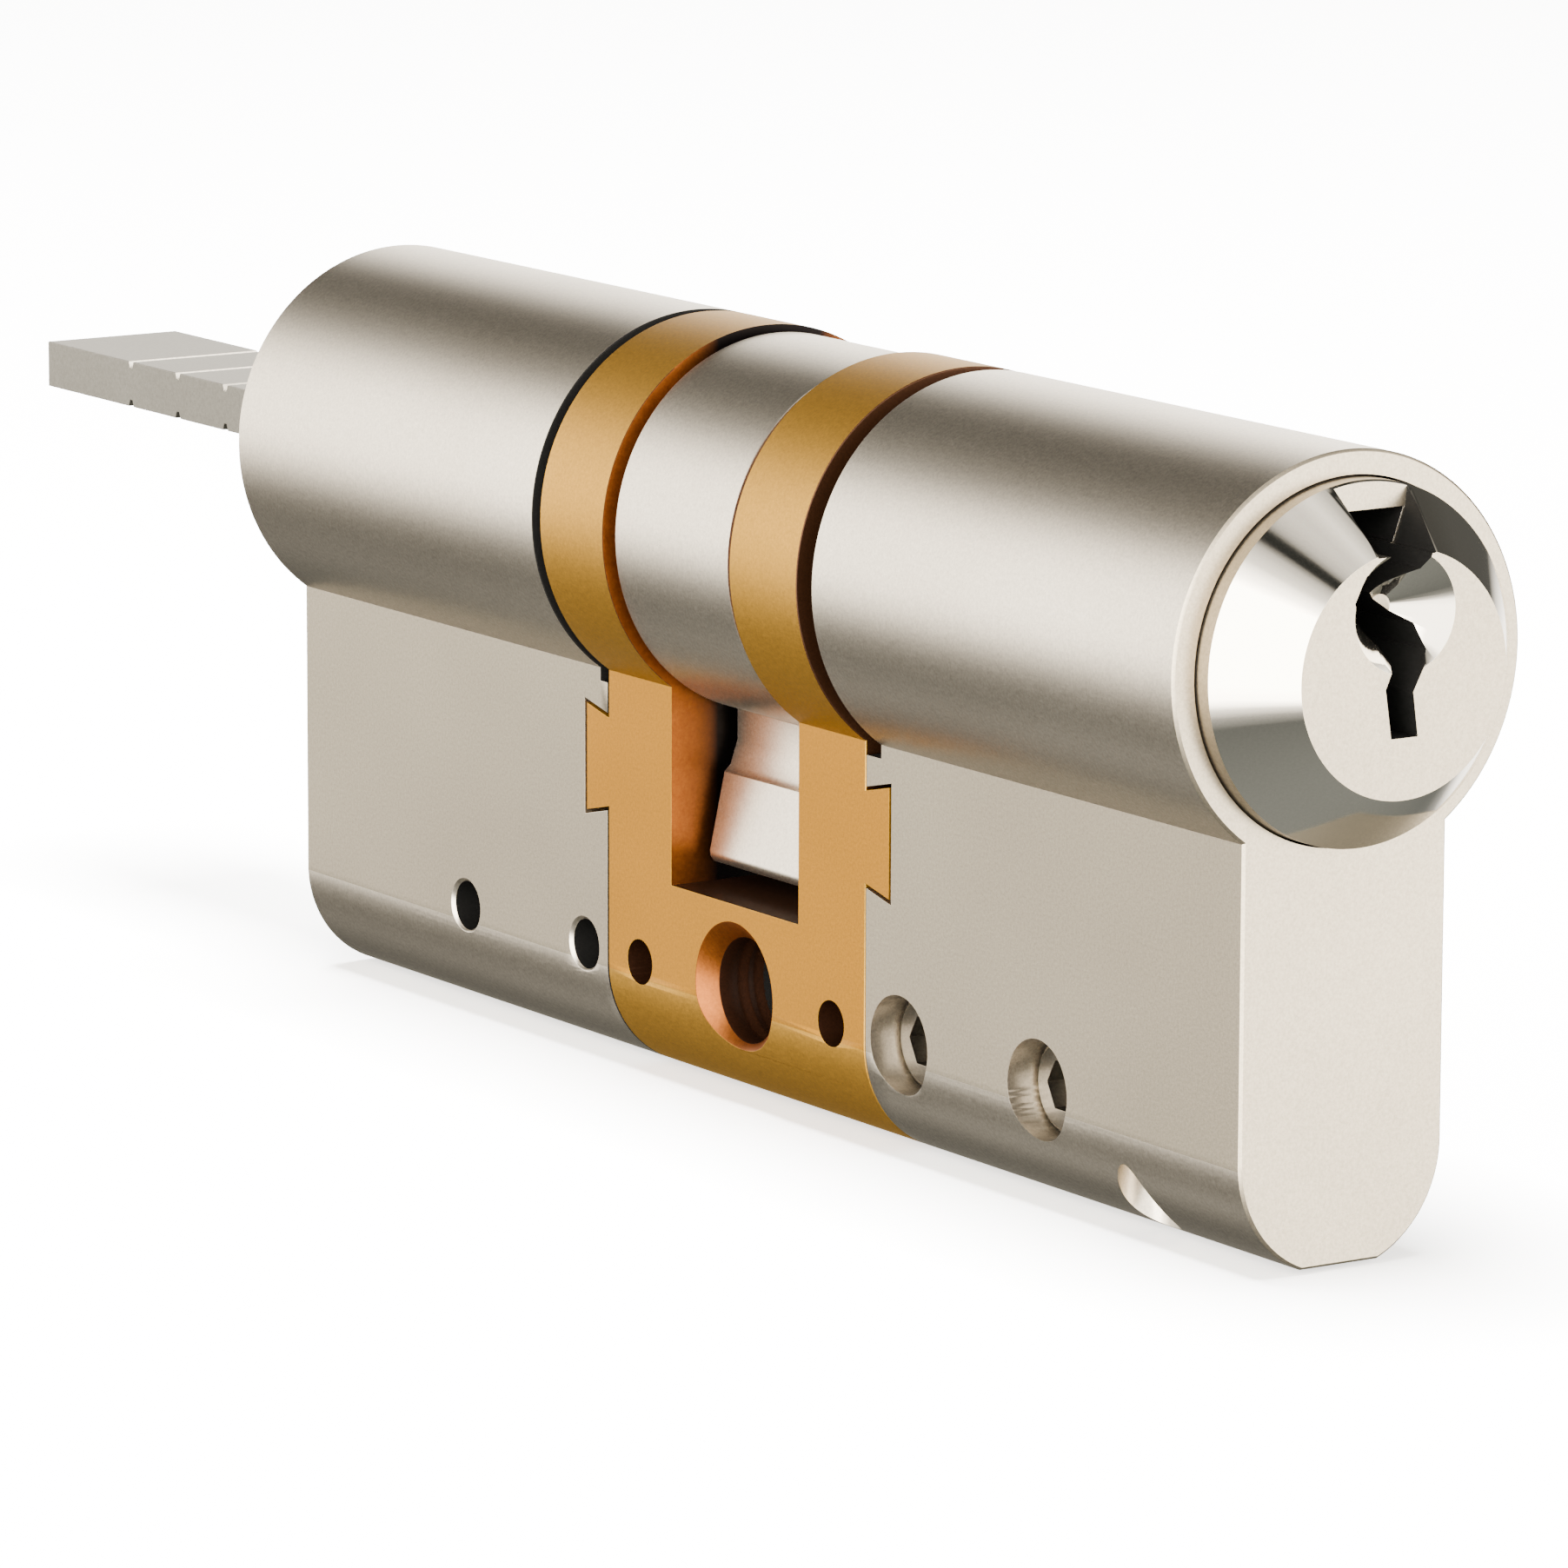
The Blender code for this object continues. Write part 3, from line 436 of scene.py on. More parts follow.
def finish(made, body, node, *materials, edge=EDGE, sharp=32, pick=None, rounded=None):
    """Bake the Booleans, round the edges (all, or those past an x), colour by pick and ride the body."""
    graph = bpy.context.evaluated_depsgraph_get()
    mesh = bpy.data.meshes.new_from_object(made.evaluated_get(graph))
    made.modifiers.clear()
    mesh.materials.clear()
    for material in materials:
        mesh.materials.append(material)
    bm = bmesh.new()
    bm.from_mesh(mesh)
    bmesh.ops.remove_doubles(bm, verts=bm.verts, dist=0.002 * MM)
    bmesh.ops.dissolve_degenerate(bm, edges=bm.edges, dist=0.001 * MM)
    if edge:
        keen = [
            e for e in bm.edges
            if len(e.link_faces) == 2 and e.calc_face_angle() > math.radians(sharp)
            and (rounded is None or min(v.co.x for v in e.verts) > rounded * MM)
        ]
        bmesh.ops.bevel(
            bm, geom=keen, offset=edge * MM, segments=2, profile=0.5, affect="EDGES",
            clamp_overlap=True, loop_slide=True,
        )
    for face in bm.faces:
        face.smooth = True
        if pick is not None:
            centre = face.calc_center_median() / MM - Vector((0, 0, AXIS))
            face.material_index = pick(centre, face.normal)
    for one in bm.edges:
        if len(one.link_faces) == 2 and one.calc_face_angle() > math.radians(sharp):
            one.smooth = False
    bm.to_mesh(mesh)
    bm.free()
    made.data = mesh
    weigh = made.modifiers.new("even_shading", "WEIGHTED_NORMAL")
    weigh.keep_sharp = True
    weigh.weight = 100
    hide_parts(node)
    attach(made, body)
    return made


# ---- the Euro profile ----
def arc(centre_z, radius, start, end, count):
    """Points about (0, centre_z), with angles in degrees from +y towards +z."""
    steps = [math.radians(start + (end - start) * k / count) for k in range(count + 1)]
    return [(radius * math.cos(a), centre_z + radius * math.sin(a)) for a in steps]


def euro_outline(inset=0.0, top=None):
    """The Euro profile in (y, z), drawn in by an inset, or its web below a height."""
    centre = BOTTOM + FOOT_R * math.cos(math.asin(FOOT_FLAT / FOOT_R))
    foot = FOOT_R - inset
    half = WEB_HALF - inset
    turn = math.degrees(math.acos((centre - BOTTOM - inset) / foot))
    points = arc(centre, foot, 180, 270 - turn, 24) + arc(centre, foot, 270 + turn, 360, 24)
    if top is not None:
        return points + [(half, top - inset), (-half, top - inset)]
    barrel = BARREL_R - inset
    meet = math.degrees(math.acos(half / barrel))
    return points + arc(0, barrel, -meet, 180 + meet, 132)


def profile_solid(name, low, high, chamfers=(0.12, 0.12), top=None):
    """The profile between two places along X, each end's edge chamfered."""
    rings = []
    first, last = chamfers
    for x, inset in ((low, first), (low + first, 0), (high - last, 0), (high, last)):
        rings.append([(x, y, z) for y, z in euro_outline(inset, top)])
    return loft(name, rings)


def tongue_outline(sign, clearance=0.0):
    """The bridge's dovetail in (x, z), or its socket."""
    root = BRIDGE_HALF - 0.5
    length = TONGUE_TIP - BRIDGE_HALF
    slope = TONGUE_FLARE / length
    tip = TONGUE_TIP + clearance
    rise = slope * (tip - BRIDGE_HALF)
    dip = slope * 0.5
    return (
        (sign * root, TONGUE_TOP - dip + clearance),
        (sign * tip, TONGUE_TOP + rise + clearance),
        (sign * tip, TONGUE_FOOT - rise - clearance),
        (sign * root, TONGUE_FOOT + dip - clearance),
    )


def side_hole(name, x, radius, sink_r=0.0, sink_depth=0.0, sides=MEDIUM):
    """A cutter from side to side through the web, with a countersink on both sides."""
    slope = (sink_r - radius) / sink_depth if sink_depth else 0.0
    out = WEB_HALF + SINK_PAST
    if not sink_depth:
        profile = ((-out, radius), (out, radius))
    else:
        wide = sink_r + slope * SINK_PAST
        inner = WEB_HALF - sink_depth
        profile = ((-out, wide), (-inner, radius), (inner, radius), (out, wide))
    return turned(name, profile, "Y", (x, 0, ROW_Z), sides)


def threaded_hole(name, x, radius, sink_r, sink_depth):
    """A side-to-side cutter with rings of thread behind its countersinks."""
    slope = (sink_r - radius) / sink_depth
    out = WEB_HALF + SINK_PAST
    inner = WEB_HALF - sink_depth
    profile = [(-out, sink_r + slope * SINK_PAST), (-inner, radius)]
    turns = int(2 * (inner - 0.3) / THREAD_PITCH)
    start = -turns * THREAD_PITCH / 2
    for k in range(turns):
        y = start + k * THREAD_PITCH
        profile += [
            (y + 0.06, radius), (y + THREAD_PITCH * 0.4, radius + THREAD_DEPTH),
            (y + THREAD_PITCH * 0.6, radius + THREAD_DEPTH), (y + THREAD_PITCH - 0.06, radius),
        ]
    profile += [(inner, radius), (out, sink_r + slope * SINK_PAST)]
    return turned(name, profile, "Y", (x, 0, ROW_Z), MEDIUM)


def body_pick(end_x, gap_x, web_x, sign):
    """0 round sides, 1 end face in a darker nickel as painted shade, 2 black as painted shade in the gaps,
    the pin holes and the seat, 3 the web's flat sides in a darker nickel as painted shade.
    """
    def pick(centre, normal):
        # walls of the cross pin holes: black as painted shade
        if abs(centre.y) < WEB_HALF - BODY_HOLE_SINK - 0.01 and abs(normal.y) < 0.9:
            if min(math.hypot(centre.x - x, centre.z - ROW_Z) for x in BODY_PIN_X) < BODY_PIN_R + 0.1:
                return 2
        # faces towards the gaps by the bridge: black as painted shade
        back_facing = normal.x * sign < -0.3
        if back_facing and (abs(centre.x - gap_x) < 0.09 or abs(centre.x - web_x) < 0.09):
            return 2
        # walls of the seat and the bore behind it: black as painted shade
        radius = math.hypot(centre.y, centre.z)
        inward = centre.y * normal.y + centre.z * normal.z < -0.5 * radius
        if radius < SEAT_R + 0.02 and (inward or abs(centre.x - end_x) > 0.3):
            return 2
        if abs(centre.x - end_x) < 0.2 and normal.x * sign > 0.5:
            return 1
        flat = abs(normal.y) > 0.995 and abs(centre.y) > WEB_HALF - 0.01
        return 3 if flat and centre.z < STEP_Z + 0.8 else 0
    return pick


# ---- front body ----
front = profile_solid("body_key_side", FRONT_BARREL_X, KEY_END, (0.04, 0.12))
join(front, profile_solid("web_key_side", FRONT_WEB_X, FRONT_BARREL_X + 3, (0.03, 0.03), STEP_Z))
cut(
    front,
    turned("seat_bore", (
        (0, BORE_R), (KEY_END - SEAT_DEPTH, BORE_R), (KEY_END - SEAT_DEPTH, SEAT_R), (KEY_END + 1, SEAT_R),
    )),
    prism("socket_key_side", tongue_outline(1, SOCKET_GAP), "Y", -WEB_HALF - 1, WEB_HALF + 1),
)
for k, x in enumerate(GRUB_X):
    cut(front, turned(
        f"grub_hole_{k}", ((-WEB_HALF - 1, GRUB_R + GRUB_FIT), (GRUB_HOLE_END, GRUB_R + GRUB_FIT)),
        "Y", (x, 0, ROW_Z), MEDIUM,
    ))
for side in (-1, 1):
    cut(front, turned(
        f"drill_hole_{side}", ((BOTTOM - 1, DRILL_R + HOLE_FIT), (DRILL_Z[1] + 0.1, DRILL_R + HOLE_FIT)),
        "Z", (DRILL_X, side * DRILL_Y, 0), MEDIUM,
    ))
finish(
    front, "housing", "front_body", SATIN_NICKEL, PAINTED_SHADE_FACE_NICKEL, BLACK_STEEL_AND_SHADE, PAINTED_SHADE_WEB_NICKEL,
    pick=body_pick(KEY_END, FRONT_BARREL_X, FRONT_WEB_X, 1),
)

# ---- back body ----
back = profile_solid("body_tail_side", TAIL_END, BACK_BARREL_X, (0.12, 0.03))
join(back, profile_solid("web_tail_side", BACK_BARREL_X - 3, BACK_WEB_X, (0.03, 0.03), STEP_Z))
cut(
    back,
    turned("rotor_bore", ((TAIL_END - 1, BORE_R), (0, BORE_R))),
    prism("socket_tail_side", tongue_outline(-1, SOCKET_GAP), "Y", -WEB_HALF - 1, WEB_HALF + 1),
)
for k, x in enumerate(BODY_PIN_X):
    hole_r = BODY_PIN_R + HOLE_FIT
    cut(back, side_hole(f"body_pin_hole_{k}", x, hole_r, hole_r + BODY_HOLE_SINK, BODY_HOLE_SINK))
finish(
    back, "housing", "back_body", SATIN_NICKEL, PAINTED_SHADE_FACE_NICKEL, BLACK_STEEL_AND_SHADE, PAINTED_SHADE_WEB_NICKEL,
    pick=body_pick(TAIL_END, BACK_BARREL_X, BACK_WEB_X, -1),
)

# ---- bridge ----
bridge = profile_solid("brass_bridge", -BRIDGE_HALF, BRIDGE_HALF, (0.04, 0.04))
join(
    bridge,
    prism("tongue_key_side", tongue_outline(1), "Y", -WEB_HALF, WEB_HALF),
    prism("tongue_tail_side", tongue_outline(-1), "Y", -WEB_HALF, WEB_HALF),
)
cut(
    bridge,
    box("window", (-WINDOW_HALF, WINDOW_HALF), (-BARREL_R - 1, BARREL_R + 1), (WINDOW_FLOOR, BARREL_R + 1)),
    turned("ring_bore", ((-BRIDGE_HALF - 1, RING_BORE_R), (BRIDGE_HALF + 1, RING_BORE_R))),
    threaded_hole("fixing_hole", 0, FIX_R, FIX_SINK_R, FIX_SINK_DEPTH),
)
for k, x in enumerate(BRIDGE_PIN_X):
    cut(bridge, side_hole(f"bridge_pin_hole_{k}", x, BRIDGE_PIN_R + HOLE_FIT))


def bridge_pick(centre, normal):
    """0 outside, 1 in the window and the countersink in a darker brass with painted shade, 2 near-black
    painted shade in the holes and on the window floor, 3 on the flat sides and 4 near-black painted shade on
    the ring ends and in the ring bore.
    """
    from_hole = math.hypot(centre.x, centre.z - ROW_Z)
    # walls of the fixing hole's bore and the pin holes: near-black brass as painted shade
    if abs(centre.y) < WEB_HALF - 0.02 and centre.z < WINDOW_FLOOR - 0.3 and abs(normal.y) < 0.9:
        in_bore = from_hole < FIX_R + THREAD_DEPTH + 0.05 and abs(centre.y) < WEB_HALF - FIX_SINK_DEPTH + 0.02
        pinned = min(math.hypot(centre.x - x, centre.z - ROW_Z) for x in BRIDGE_PIN_X) < BRIDGE_PIN_R + 0.1
        if in_bore or pinned:
            return 2
    # countersink walls: the darker brass with painted shade
    inward = centre.x * normal.x + (centre.z - ROW_Z) * normal.z < -0.3
    if from_hole < FIX_SINK_R + 0.02 and inward:
        return 1
    # window walls: the darker brass with painted shade; window floor: near-black brass as painted shade
    in_window = abs(centre.x) < WINDOW_HALF + 0.05 and centre.z > WINDOW_FLOOR - 0.1
    if in_window and abs(centre.y) < WEB_HALF - 0.02:
        return 2 if normal.z > 0.9 else 1
    # ring bore and the ring ends beside the cam: near-black brass as painted shade
    bored = math.hypot(centre.y, centre.z) < RING_BORE_R + 0.05
    ring_end = abs(normal.x) > 0.35 and centre.z > STEP_Z
    if bored or ring_end:
        return 4
    flat = abs(normal.y) > 0.995 and abs(centre.y) > WEB_HALF - 0.01
    return 3 if flat and centre.z < STEP_Z + 0.8 else 0


finish(
    bridge, "housing", "bridge", BRASS, PAINTED_SHADE_BORED_BRASS, PAINTED_SHADE_BRASS, BRASS_FACE, PAINTED_SHADE_RING_END,
    edge=0.05, pick=bridge_pick,
)

# ---- cam ----
cam = turned("cam_ring", (
    (-CAM_HUB, CAM_HUB_R), (-CAM_HALF, CAM_HUB_R), (-CAM_HALF, CAM_R), (CAM_HALF, CAM_R),
    (CAM_HALF, CAM_HUB_R), (CAM_HUB, CAM_HUB_R),
))
lobe = HALF_LOBE + tuple((-y, z) for y, z in reversed(HALF_LOBE))
join(cam, prism("cam_lobe", lobe, "X", -CAM_HALF, CAM_HALF))
cut(cam, turned("cam_bore", ((-CAM_HUB - 1, CAM_BORE_R), (CAM_HUB + 1, CAM_BORE_R)), sides=MEDIUM))
finish(cam, "cam_unit", "cam", SATIN_NICKEL, edge=0.07)

# ---- plug with its coned nose ----
head_face = KEY_END + HEAD_BAND
plug = turned("plug_nose", (
    (PLUG_REAR, PLUG_R - PLUG_CHAMFER), (PLUG_REAR + PLUG_CHAMFER, PLUG_R),
    (KEY_END - HEAD_BACK, PLUG_R), (KEY_END - HEAD_BACK, HEAD_R),
    (head_face, HEAD_R), (FACE_X, FACE_R),
))
cut(
    plug,
    prism("keyway_cut", KEYWAY, "X", PLUG_REAR + KEYWAY_SHORT, FACE_X + 1),
    turned("funnel_cut", (
        (FACE_X - FUNNEL_DEPTH, 0.5), (FACE_X, FUNNEL_R), (FACE_X + 0.5, FUNNEL_R + 0.57),
    ), "X", (0, 0, FUNNEL_RISE), MEDIUM),
    prism("nose_slot", NOSE_SLOT, "X", head_face + 0.1, FACE_X + 1),
    prism("nose_pocket", NOSE_POCKET, "X", FACE_X - NOSE_POCKET_DEPTH, FACE_X + 0.9),
    box(
        "clutch_slot", (PLUG_REAR - 1, POCKET_END),
        (-SLOT_HALF_W, SLOT_HALF_W), (-SLOT_HALF_H, SLOT_HALF_H),
    ),
)
for k, x in enumerate(STACK_X):
    cut(plug, turned(
        f"plug_chamber_{k}", ((-PLUG_R - 1, CHAMBER_R), (CHAMBER_TOP, CHAMBER_R)), "Z", (x, 0, 0), MEDIUM,
    ))
cut(plug, cut(
    turned("clip_groove", tuple((x, PLUG_R + 1) for x in CLIP_GROOVE)),
    turned("clip_groove_core", ((CLIP_GROOVE[0] - 1, CLIP_GROOVE_R), (CLIP_GROOVE[1] + 1, CLIP_GROOVE_R))),
))


def plug_pick(centre, normal):
    """0 polished, 1 on the flat faces and the head's band in a darker nickel as painted shade, 2 black as
    painted shade inside the keyway and slot.
    """
    radius = math.hypot(centre.y, centre.z)
    if centre.x < KEY_END - HEAD_BACK - 0.1:
        return 2
    if normal.x > 0.99:
        return 1 if centre.x > head_face - 0.2 else 2
    if radius > HEAD_R - 0.12 and centre.x < head_face + 0.02:
        return 1
    # faces turned away from the front, in the keyway, slot and pocket: black as painted shade
    return 0 if normal.x > 0.45 else 2


finish(
    plug, "plug", "front_plug", POLISHED, PAINTED_SHADE_FACE_NICKEL, BLACK_STEEL_AND_SHADE, edge=0.05, sharp=24, pick=plug_pick,
    rounded=KEY_END - HEAD_BACK + 0.1,
)

# ---- rotor that holds the blade ----
rotor = turned("tail_rotor", (
    (ROTOR_X[0], PLUG_R - PLUG_CHAMFER), (ROTOR_X[0] + PLUG_CHAMFER, PLUG_R),
    (-PLUG_REAR - PLUG_CHAMFER, PLUG_R), (-PLUG_REAR, PLUG_R - PLUG_CHAMFER),
))
join(rotor, box(
    "tenon", (-PLUG_REAR - 1, ROTOR_X[1]),
    (ROTOR_FIT - SLOT_HALF_W, SLOT_HALF_W - ROTOR_FIT), (ROTOR_FIT - SLOT_HALF_H, SLOT_HALF_H - ROTOR_FIT),
))
cut(
    rotor,
    box(
        "blade_slot", (ROTOR_X[0] - 1, BLADE_X[1] + ROTOR_FIT),
        (-BLADE_HALF - ROTOR_FIT, BLADE_HALF + ROTOR_FIT),
        (-BLADE_T / 2 - ROTOR_FIT, BLADE_T / 2 + ROTOR_FIT),
    ),
    turned(
        "rotor_pin_hole", ((-PLUG_R - 1, ROTOR_PIN_R), (PLUG_R + 1, ROTOR_PIN_R)), "Z",
        (middle("tail_pin", 0), 0, 0), MEDIUM,
    ),
    cut(
        turned("rotor_groove", tuple((x, PLUG_R + 1) for x in ROTOR_GROOVE)),
        turned("rotor_core", ((ROTOR_GROOVE[0] - 1, CLIP_GROOVE_R), (ROTOR_GROOVE[1] + 1, CLIP_GROOVE_R))),
    ),
)
finish(rotor, "cam_unit", "rotor", STEEL, edge=0)

# ---- tail blade ----
blade = box("snap_off_blade", BLADE_X, (-BLADE_HALF, BLADE_HALF), (-BLADE_T / 2, BLADE_T / 2))
for k in range(SCORE_COUNT):
    x = SCORE_FIRST + k * SCORE_PITCH
    for side in (-1, 1):
        face = side * BLADE_T / 2
        notch = (
            (x - SCORE_HALF_W, face + side * SCORE_PAST), (x + SCORE_HALF_W, face + side * SCORE_PAST),
            (x + SCORE_FLOOR_HALF_W, face - side * SCORE_DEPTH),
            (x - SCORE_FLOOR_HALF_W, face - side * SCORE_DEPTH),
        )
        cut(blade, prism(f"score_{k}_{side}", notch, "Y", -BLADE_HALF - 1, BLADE_HALF + 1))


def blade_pick(centre, normal):
    """0 on the blade, 1 in the scored lines of its top."""
    scored = min(abs(centre.x - SCORE_FIRST - k * SCORE_PITCH) for k in range(SCORE_COUNT)) < 0.3
    return 1 if scored and centre.z > 0 and abs(normal.y) < 0.5 else 0


finish(blade, "cam_unit", "tail_blade", BLADE_STEEL, SCORE_BRIGHT, edge=0.04, pick=blade_pick)

# ---- grub screws ----
for k, x in enumerate(GRUB_X):
    head, tip = GRUB_Y[k]
    screw = turned(f"socket_screw_{k + 1}", (
        (head, GRUB_R - 0.32), (head + 0.1, GRUB_R - 0.12), (head + 0.3, GRUB_R), (tip, GRUB_R),
    ), "Y", (x, 0, ROW_Z), MEDIUM)
    reach = SOCKET_AF / math.sqrt(3)
    hexagon = [
        (x + reach * math.cos(math.radians(60 * n)), ROW_Z + reach * math.sin(math.radians(60 * n)))
        for n in range(6)
    ]
    cut(screw, prism(f"hex_{k}", hexagon, "Y", head - 1, head + SOCKET_DEPTH))
    finish(screw, "housing", f"grub_screw_{k + 1}", STEEL, edge=0.04)


# ---- springs behind the driver pins ----
def coil(name, x, low, high, radius, wire, turns):
    """A round-wire helix standing along Z."""
    steps = int(turns * COIL_STEPS)
    rings = []
    for k in range(steps + 1):
        a = 2 * math.pi * k / COIL_STEPS
        out = Vector((math.cos(a), math.sin(a), 0))
        lean = Vector((-radius * math.sin(a), radius * math.cos(a), (high - low) / turns / (2 * math.pi)))
        up = lean.normalized().cross(out)
        centre = Vector((x, 0, low + wire / 2 + (high - low - wire) * k / steps)) + out * radius
        turn = [2 * math.pi * n / WIRE_SIDES for n in range(WIRE_SIDES)]
        rings.append([centre + (out * math.cos(b) + up * math.sin(b)) * wire / 2 for b in turn])
    return loft(name, rings)


for k in range(1, 6):
    low, high = (z - AXIS for z in span(f"pin_spring_{k}", 2))
    outer = size(f"pin_spring_{k}", 0) / 2
    spring = coil(
        f"wound_spring_{k}", middle(f"driver_pin_{k}", 0), low, high,
        outer - SPRING_WIRE / 2, SPRING_WIRE, SPRING_TURNS,
    )
    finish(spring, "housing", f"pin_spring_{k}", STEEL, edge=0)
    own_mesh(spring)

# ---- the CAD nodes that stay get materials of their own ----
KEPT = {
    "reinforcing_bar": BLACK_STEEL_AND_SHADE, "plug_clip": BLACK_STEEL_AND_SHADE, "rotor_clip": BLACK_STEEL_AND_SHADE,
    "tail_pin": BLACK_STEEL_AND_SHADE, "clutch_slider": STEEL, "clutch_spring": STEEL,
    "anti_drill_pin_near": STEEL, "anti_drill_pin_far": STEEL,
}
for name, node in frame["nodes"].items():
    material = KEPT.get(name)
    if material is None and "cross_pin" in name:
        material = BLACK_STEEL_AND_SHADE
    if material is None and name.startswith("driver_pin"):
        material = STEEL
    if material is None and name.startswith(("key_pin", "chamber_plug")):
        material = BRASS
    if material is not None:
        node.data.materials.clear()
        node.data.materials.append(material)

# ---- floor ----
FLOOR_GAP = 0.0002
FLOOR_HALF = 3.0
PAPER_GLOW = 1.4
FLOOR_Z = (BOTTOM + AXIS) * MM - FLOOR_GAP
floor_mesh = bpy.data.meshes.new("floor")
bm = bmesh.new()
bmesh.ops.create_grid(bm, x_segments=1, y_segments=1, size=FLOOR_HALF)
bm.to_mesh(floor_mesh)
bm.free()
floor = bpy.data.objects.new("floor", floor_mesh)
floor.location = (0, 0, FLOOR_Z)
bpy.context.scene.collection.objects.link(floor)
paper = Nodes("white_paper")
paper.tree.nodes.remove(paper.shader)
ray = paper.add("ShaderNodeLightPath")
seen = paper.add("ShaderNodeBsdfDiffuse", Color=(0.9, 0.9, 0.9, 1))
glow = paper.add("ShaderNodeEmission", Color=(1, 1, 1, 1), Strength=PAPER_GLOW)
both = paper.add("ShaderNodeAddShader")
paper.wire(seen.outputs[0], both.inputs[0])
paper.wire(glow.outputs[0], both.inputs[1])
clear = paper.add("ShaderNodeBsdfTransparent")
choose = paper.add("ShaderNodeMixShader")
paper.wire(ray.outputs["Is Camera Ray"], choose.inputs[0])
paper.wire(clear.outputs[0], choose.inputs[1])
paper.wire(both.outputs[0], choose.inputs[2])
paper.wire(choose.outputs[0], paper.tree.nodes["Material Output"].inputs["Surface"])
floor.data.materials.append(paper.material)

# ---- light: a bright band round the horizon, a dark ceiling and one large lamp overhead ----
BAND = (
    (-1.0, 0.0), (-0.78, 0.0), (-0.68, 0.01), (-0.60, 0.12), (-0.51, 0.01), (-0.36, 0.0),
    (-0.26, 0.12), (-0.16, 0.60), (-0.06, 1.0), (0.30, 1.0), (0.42, 0.6), (0.51, 0.03),
    (0.76, 0.01), (0.82, 0.35), (0.88, 0.30), (1.0, 0.05),
)
FRONT_BAND = (
    (-1.0, 0.0), (-0.55, 0.0), (-0.47, 0.03), (-0.40, 0.15), (-0.32, 0.8), (-0.2, 1.0), (0.60, 1.0),
    (0.66, 0.5), (0.76, 0.14), (0.84, 0.08), (0.87, 0.0), (0.905, 0.0), (0.93, 0.14),
    (0.965, 0.24), (1.0, 0.15),
)
FRONT_SIDE = ((-180, 0), (-112, 0), (-100, 1), (142, 1), (146, 0), (180, 0))
ROUND = (
    (-180, 0.18), (-170, 0.5), (-158, 1.0), (-100, 1.0), (-84, 1.4), (-76, 3.4), (-52, 3.4),
    (-42, 1.4), (0, 1.3), (35, 1.9), (75, 0.7), (96, 0.01), (124, 0.01), (130, 0.6), (134, 1.0),
    (144, 1.0), (153, 0.7), (163, 0.06),
    (172, 0.03), (180, 0.18),
)
AMBIENT = (
    (-1.0, 0.062), (-0.85, 0.055), (-0.65, 0.046), (-0.45, 0.036), (-0.3, 0.024), (-0.1, 0.012), (0.3, 0.012),
    (0.5, 0.008), (1.0, 0.008),
)
BACK_FILL = 0.45
LIGHT_COLOUR = (1.0, 0.93, 0.82, 1)
AMBIENT_COLOUR = (0.98, 1.0, 0.90, 1)
world = bpy.data.worlds.new("studio")
bpy.context.scene.world = world
world.use_nodes = True
sky = world.node_tree
background = sky.nodes["Background"]


def sky_math(operation, first, second=None):
    """One maths node in the world."""
    made = sky.nodes.new("ShaderNodeMath")
    made.operation = operation
    for slot, value in enumerate((first, second)):
        if value is None:
            continue
        if isinstance(value, (int, float)):
            made.inputs[slot].default_value = value
        else:
            sky.links.new(value, made.inputs[slot])
    return made.outputs[0]


def sky_curve(points, low, high, source):
    """A brightness that follows points of (place, brightness) along a source value."""
    ramp = sky.nodes.new("ShaderNodeValToRGB")
    stops = ramp.color_ramp.elements
    while len(stops) < len(points):
        stops.new(0.5)
    for stop, (place, level) in zip(stops, sorted(points)):
        stop.position = (place - low) / (high - low)
        stop.color = (level, level, level, 1)
    sky.links.new(sky_math("MULTIPLY", sky_math("SUBTRACT", source, low), 1 / (high - low)), ramp.inputs[0])
    return ramp.outputs[0]


way = sky.nodes.new("ShaderNodeTexCoord")
parts = sky.nodes.new("ShaderNodeSeparateXYZ")
sky.links.new(way.outputs["Generated"], parts.inputs[0])
turn = sky_math("MULTIPLY", sky_math("ARCTAN2", parts.outputs[1], parts.outputs[0]), 180 / math.pi)
height = parts.outputs[2]
front_side = sky_curve(FRONT_SIDE, -180, 180, turn)
back_band = sky_math("MULTIPLY", sky_curve(BAND, -1, 1, height), sky_math("SUBTRACT", 1.0, front_side))
front_band = sky_math("MULTIPLY", sky_curve(FRONT_BAND, -1, 1, height), front_side)
level = sky_math("MULTIPLY", sky_math("ADD", back_band, front_band), sky_curve(ROUND, -180, 180, turn))
ray = sky.nodes.new("ShaderNodeLightPath")
BAND_STRENGTH = 5.0
BACKDROP_STRENGTH = 14.0
straight = sky_math("MULTIPLY", ray.outputs["Is Camera Ray"], BACKDROP_STRENGTH)
bounced = sky_math("MULTIPLY", sky_math("SUBTRACT", 1.0, ray.outputs["Is Camera Ray"]), BAND_STRENGTH)
sky.links.new(sky_math("ADD", sky_math("MULTIPLY", bounced, level), straight), background.inputs["Strength"])
background.inputs["Color"].default_value = LIGHT_COLOUR
fill = sky.nodes.new("ShaderNodeBackground")
fill.inputs["Color"].default_value = AMBIENT_COLOUR
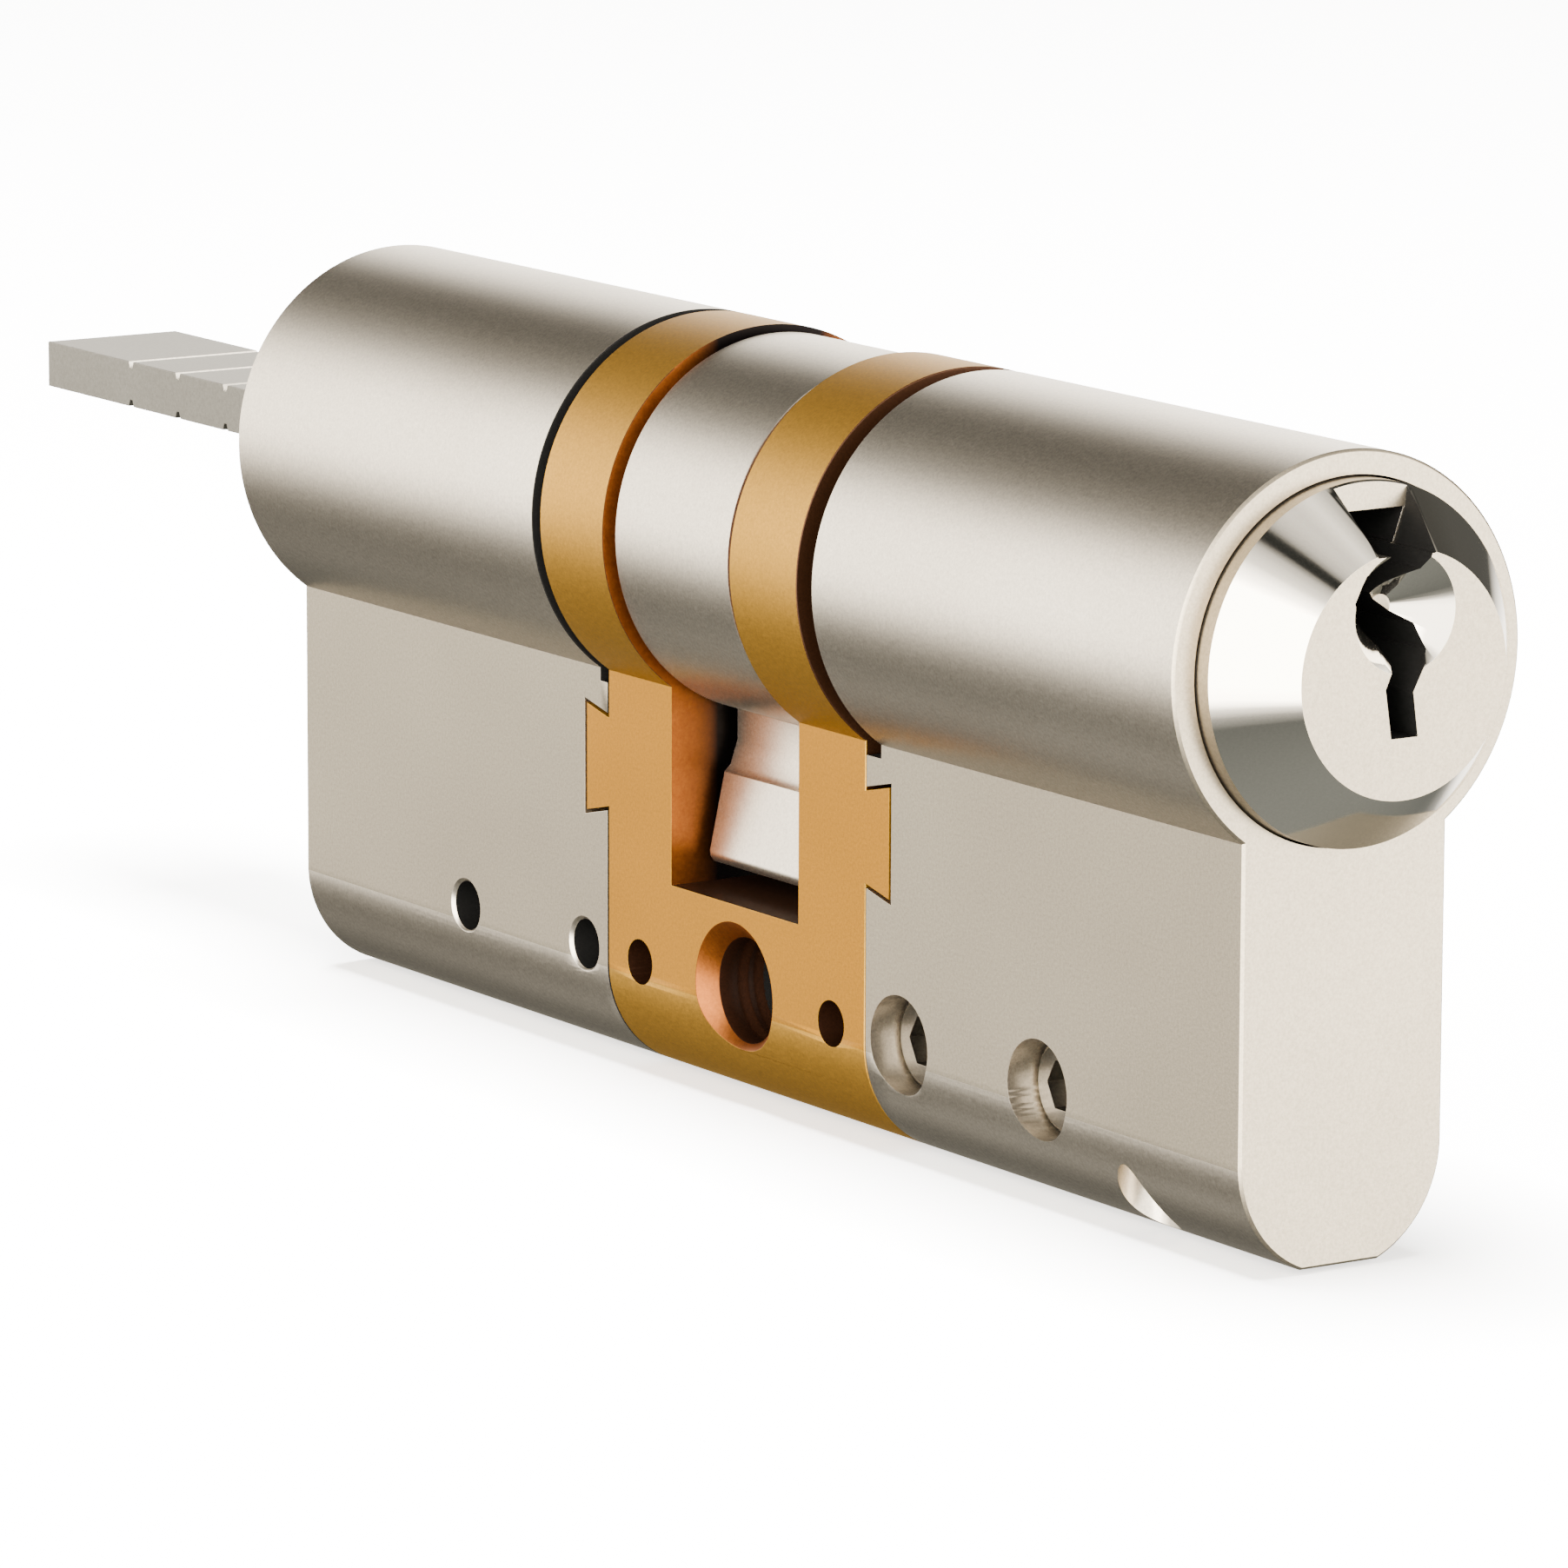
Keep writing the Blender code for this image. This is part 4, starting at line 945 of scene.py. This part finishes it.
low_fill = sky_math("ADD", sky_math("MULTIPLY", front_side, 1 - BACK_FILL), BACK_FILL)
low_fill = sky_math("MULTIPLY", sky_curve(AMBIENT, -1, 1, height), low_fill)
sky.links.new(sky_math("MULTIPLY", bounced, low_fill), fill.inputs["Strength"])
whole = sky.nodes.new("ShaderNodeAddShader")
sky.links.new(background.outputs[0], whole.inputs[0])
sky.links.new(fill.outputs[0], whole.inputs[1])
sky.links.new(whole.outputs[0], sky.nodes["World Output"].inputs["Surface"])

# the overhead lamp lights only the paper, where it draws the soft shadow
lamp_data = bpy.data.lights.new("overhead", "AREA")
lamp_data.shape = "RECTANGLE"
lamp_data.size = 0.5
lamp_data.size_y = 0.4
lamp_data.energy = 105.0
lamp = bpy.data.objects.new("overhead", lamp_data)
lamp.location = (-0.05, -0.05, 0.8)
bpy.context.scene.collection.objects.link(lamp)
lit = bpy.data.collections.new("lit_by_overhead")
lit.objects.link(floor)
lamp.light_linking.receiver_collection = lit

# ---- camera ----
CAMERA_PLACE = Vector((332.44, -218.80, 64.00 + AXIS)) * MM
CAMERA_AZIMUTH = math.radians(56.946)
CAMERA_DOWN = math.radians(10.65)
CAMERA_ROLL = math.radians(0.182)
FOCAL_PER_WIDTH = 10834.45 / 1804
SENSOR = 36.0
camera_data = bpy.data.cameras.new("camera")
camera_data.sensor_width = SENSOR
camera_data.lens = SENSOR * FOCAL_PER_WIDTH
camera_data.clip_start = 0.01
camera_data.clip_end = 20.0
camera = bpy.data.objects.new("camera", camera_data)
forward = Vector((
    -math.sin(CAMERA_AZIMUTH) * math.cos(CAMERA_DOWN),
    math.cos(CAMERA_AZIMUTH) * math.cos(CAMERA_DOWN),
    -math.sin(CAMERA_DOWN),
))
camera.rotation_mode = "QUATERNION"
look = forward.to_track_quat("-Z", "Y")
camera.rotation_quaternion = look @ Matrix.Rotation(CAMERA_ROLL, 4, "Z").to_quaternion()
camera.location = CAMERA_PLACE
bpy.context.scene.collection.objects.link(camera)
bpy.context.scene.camera = camera
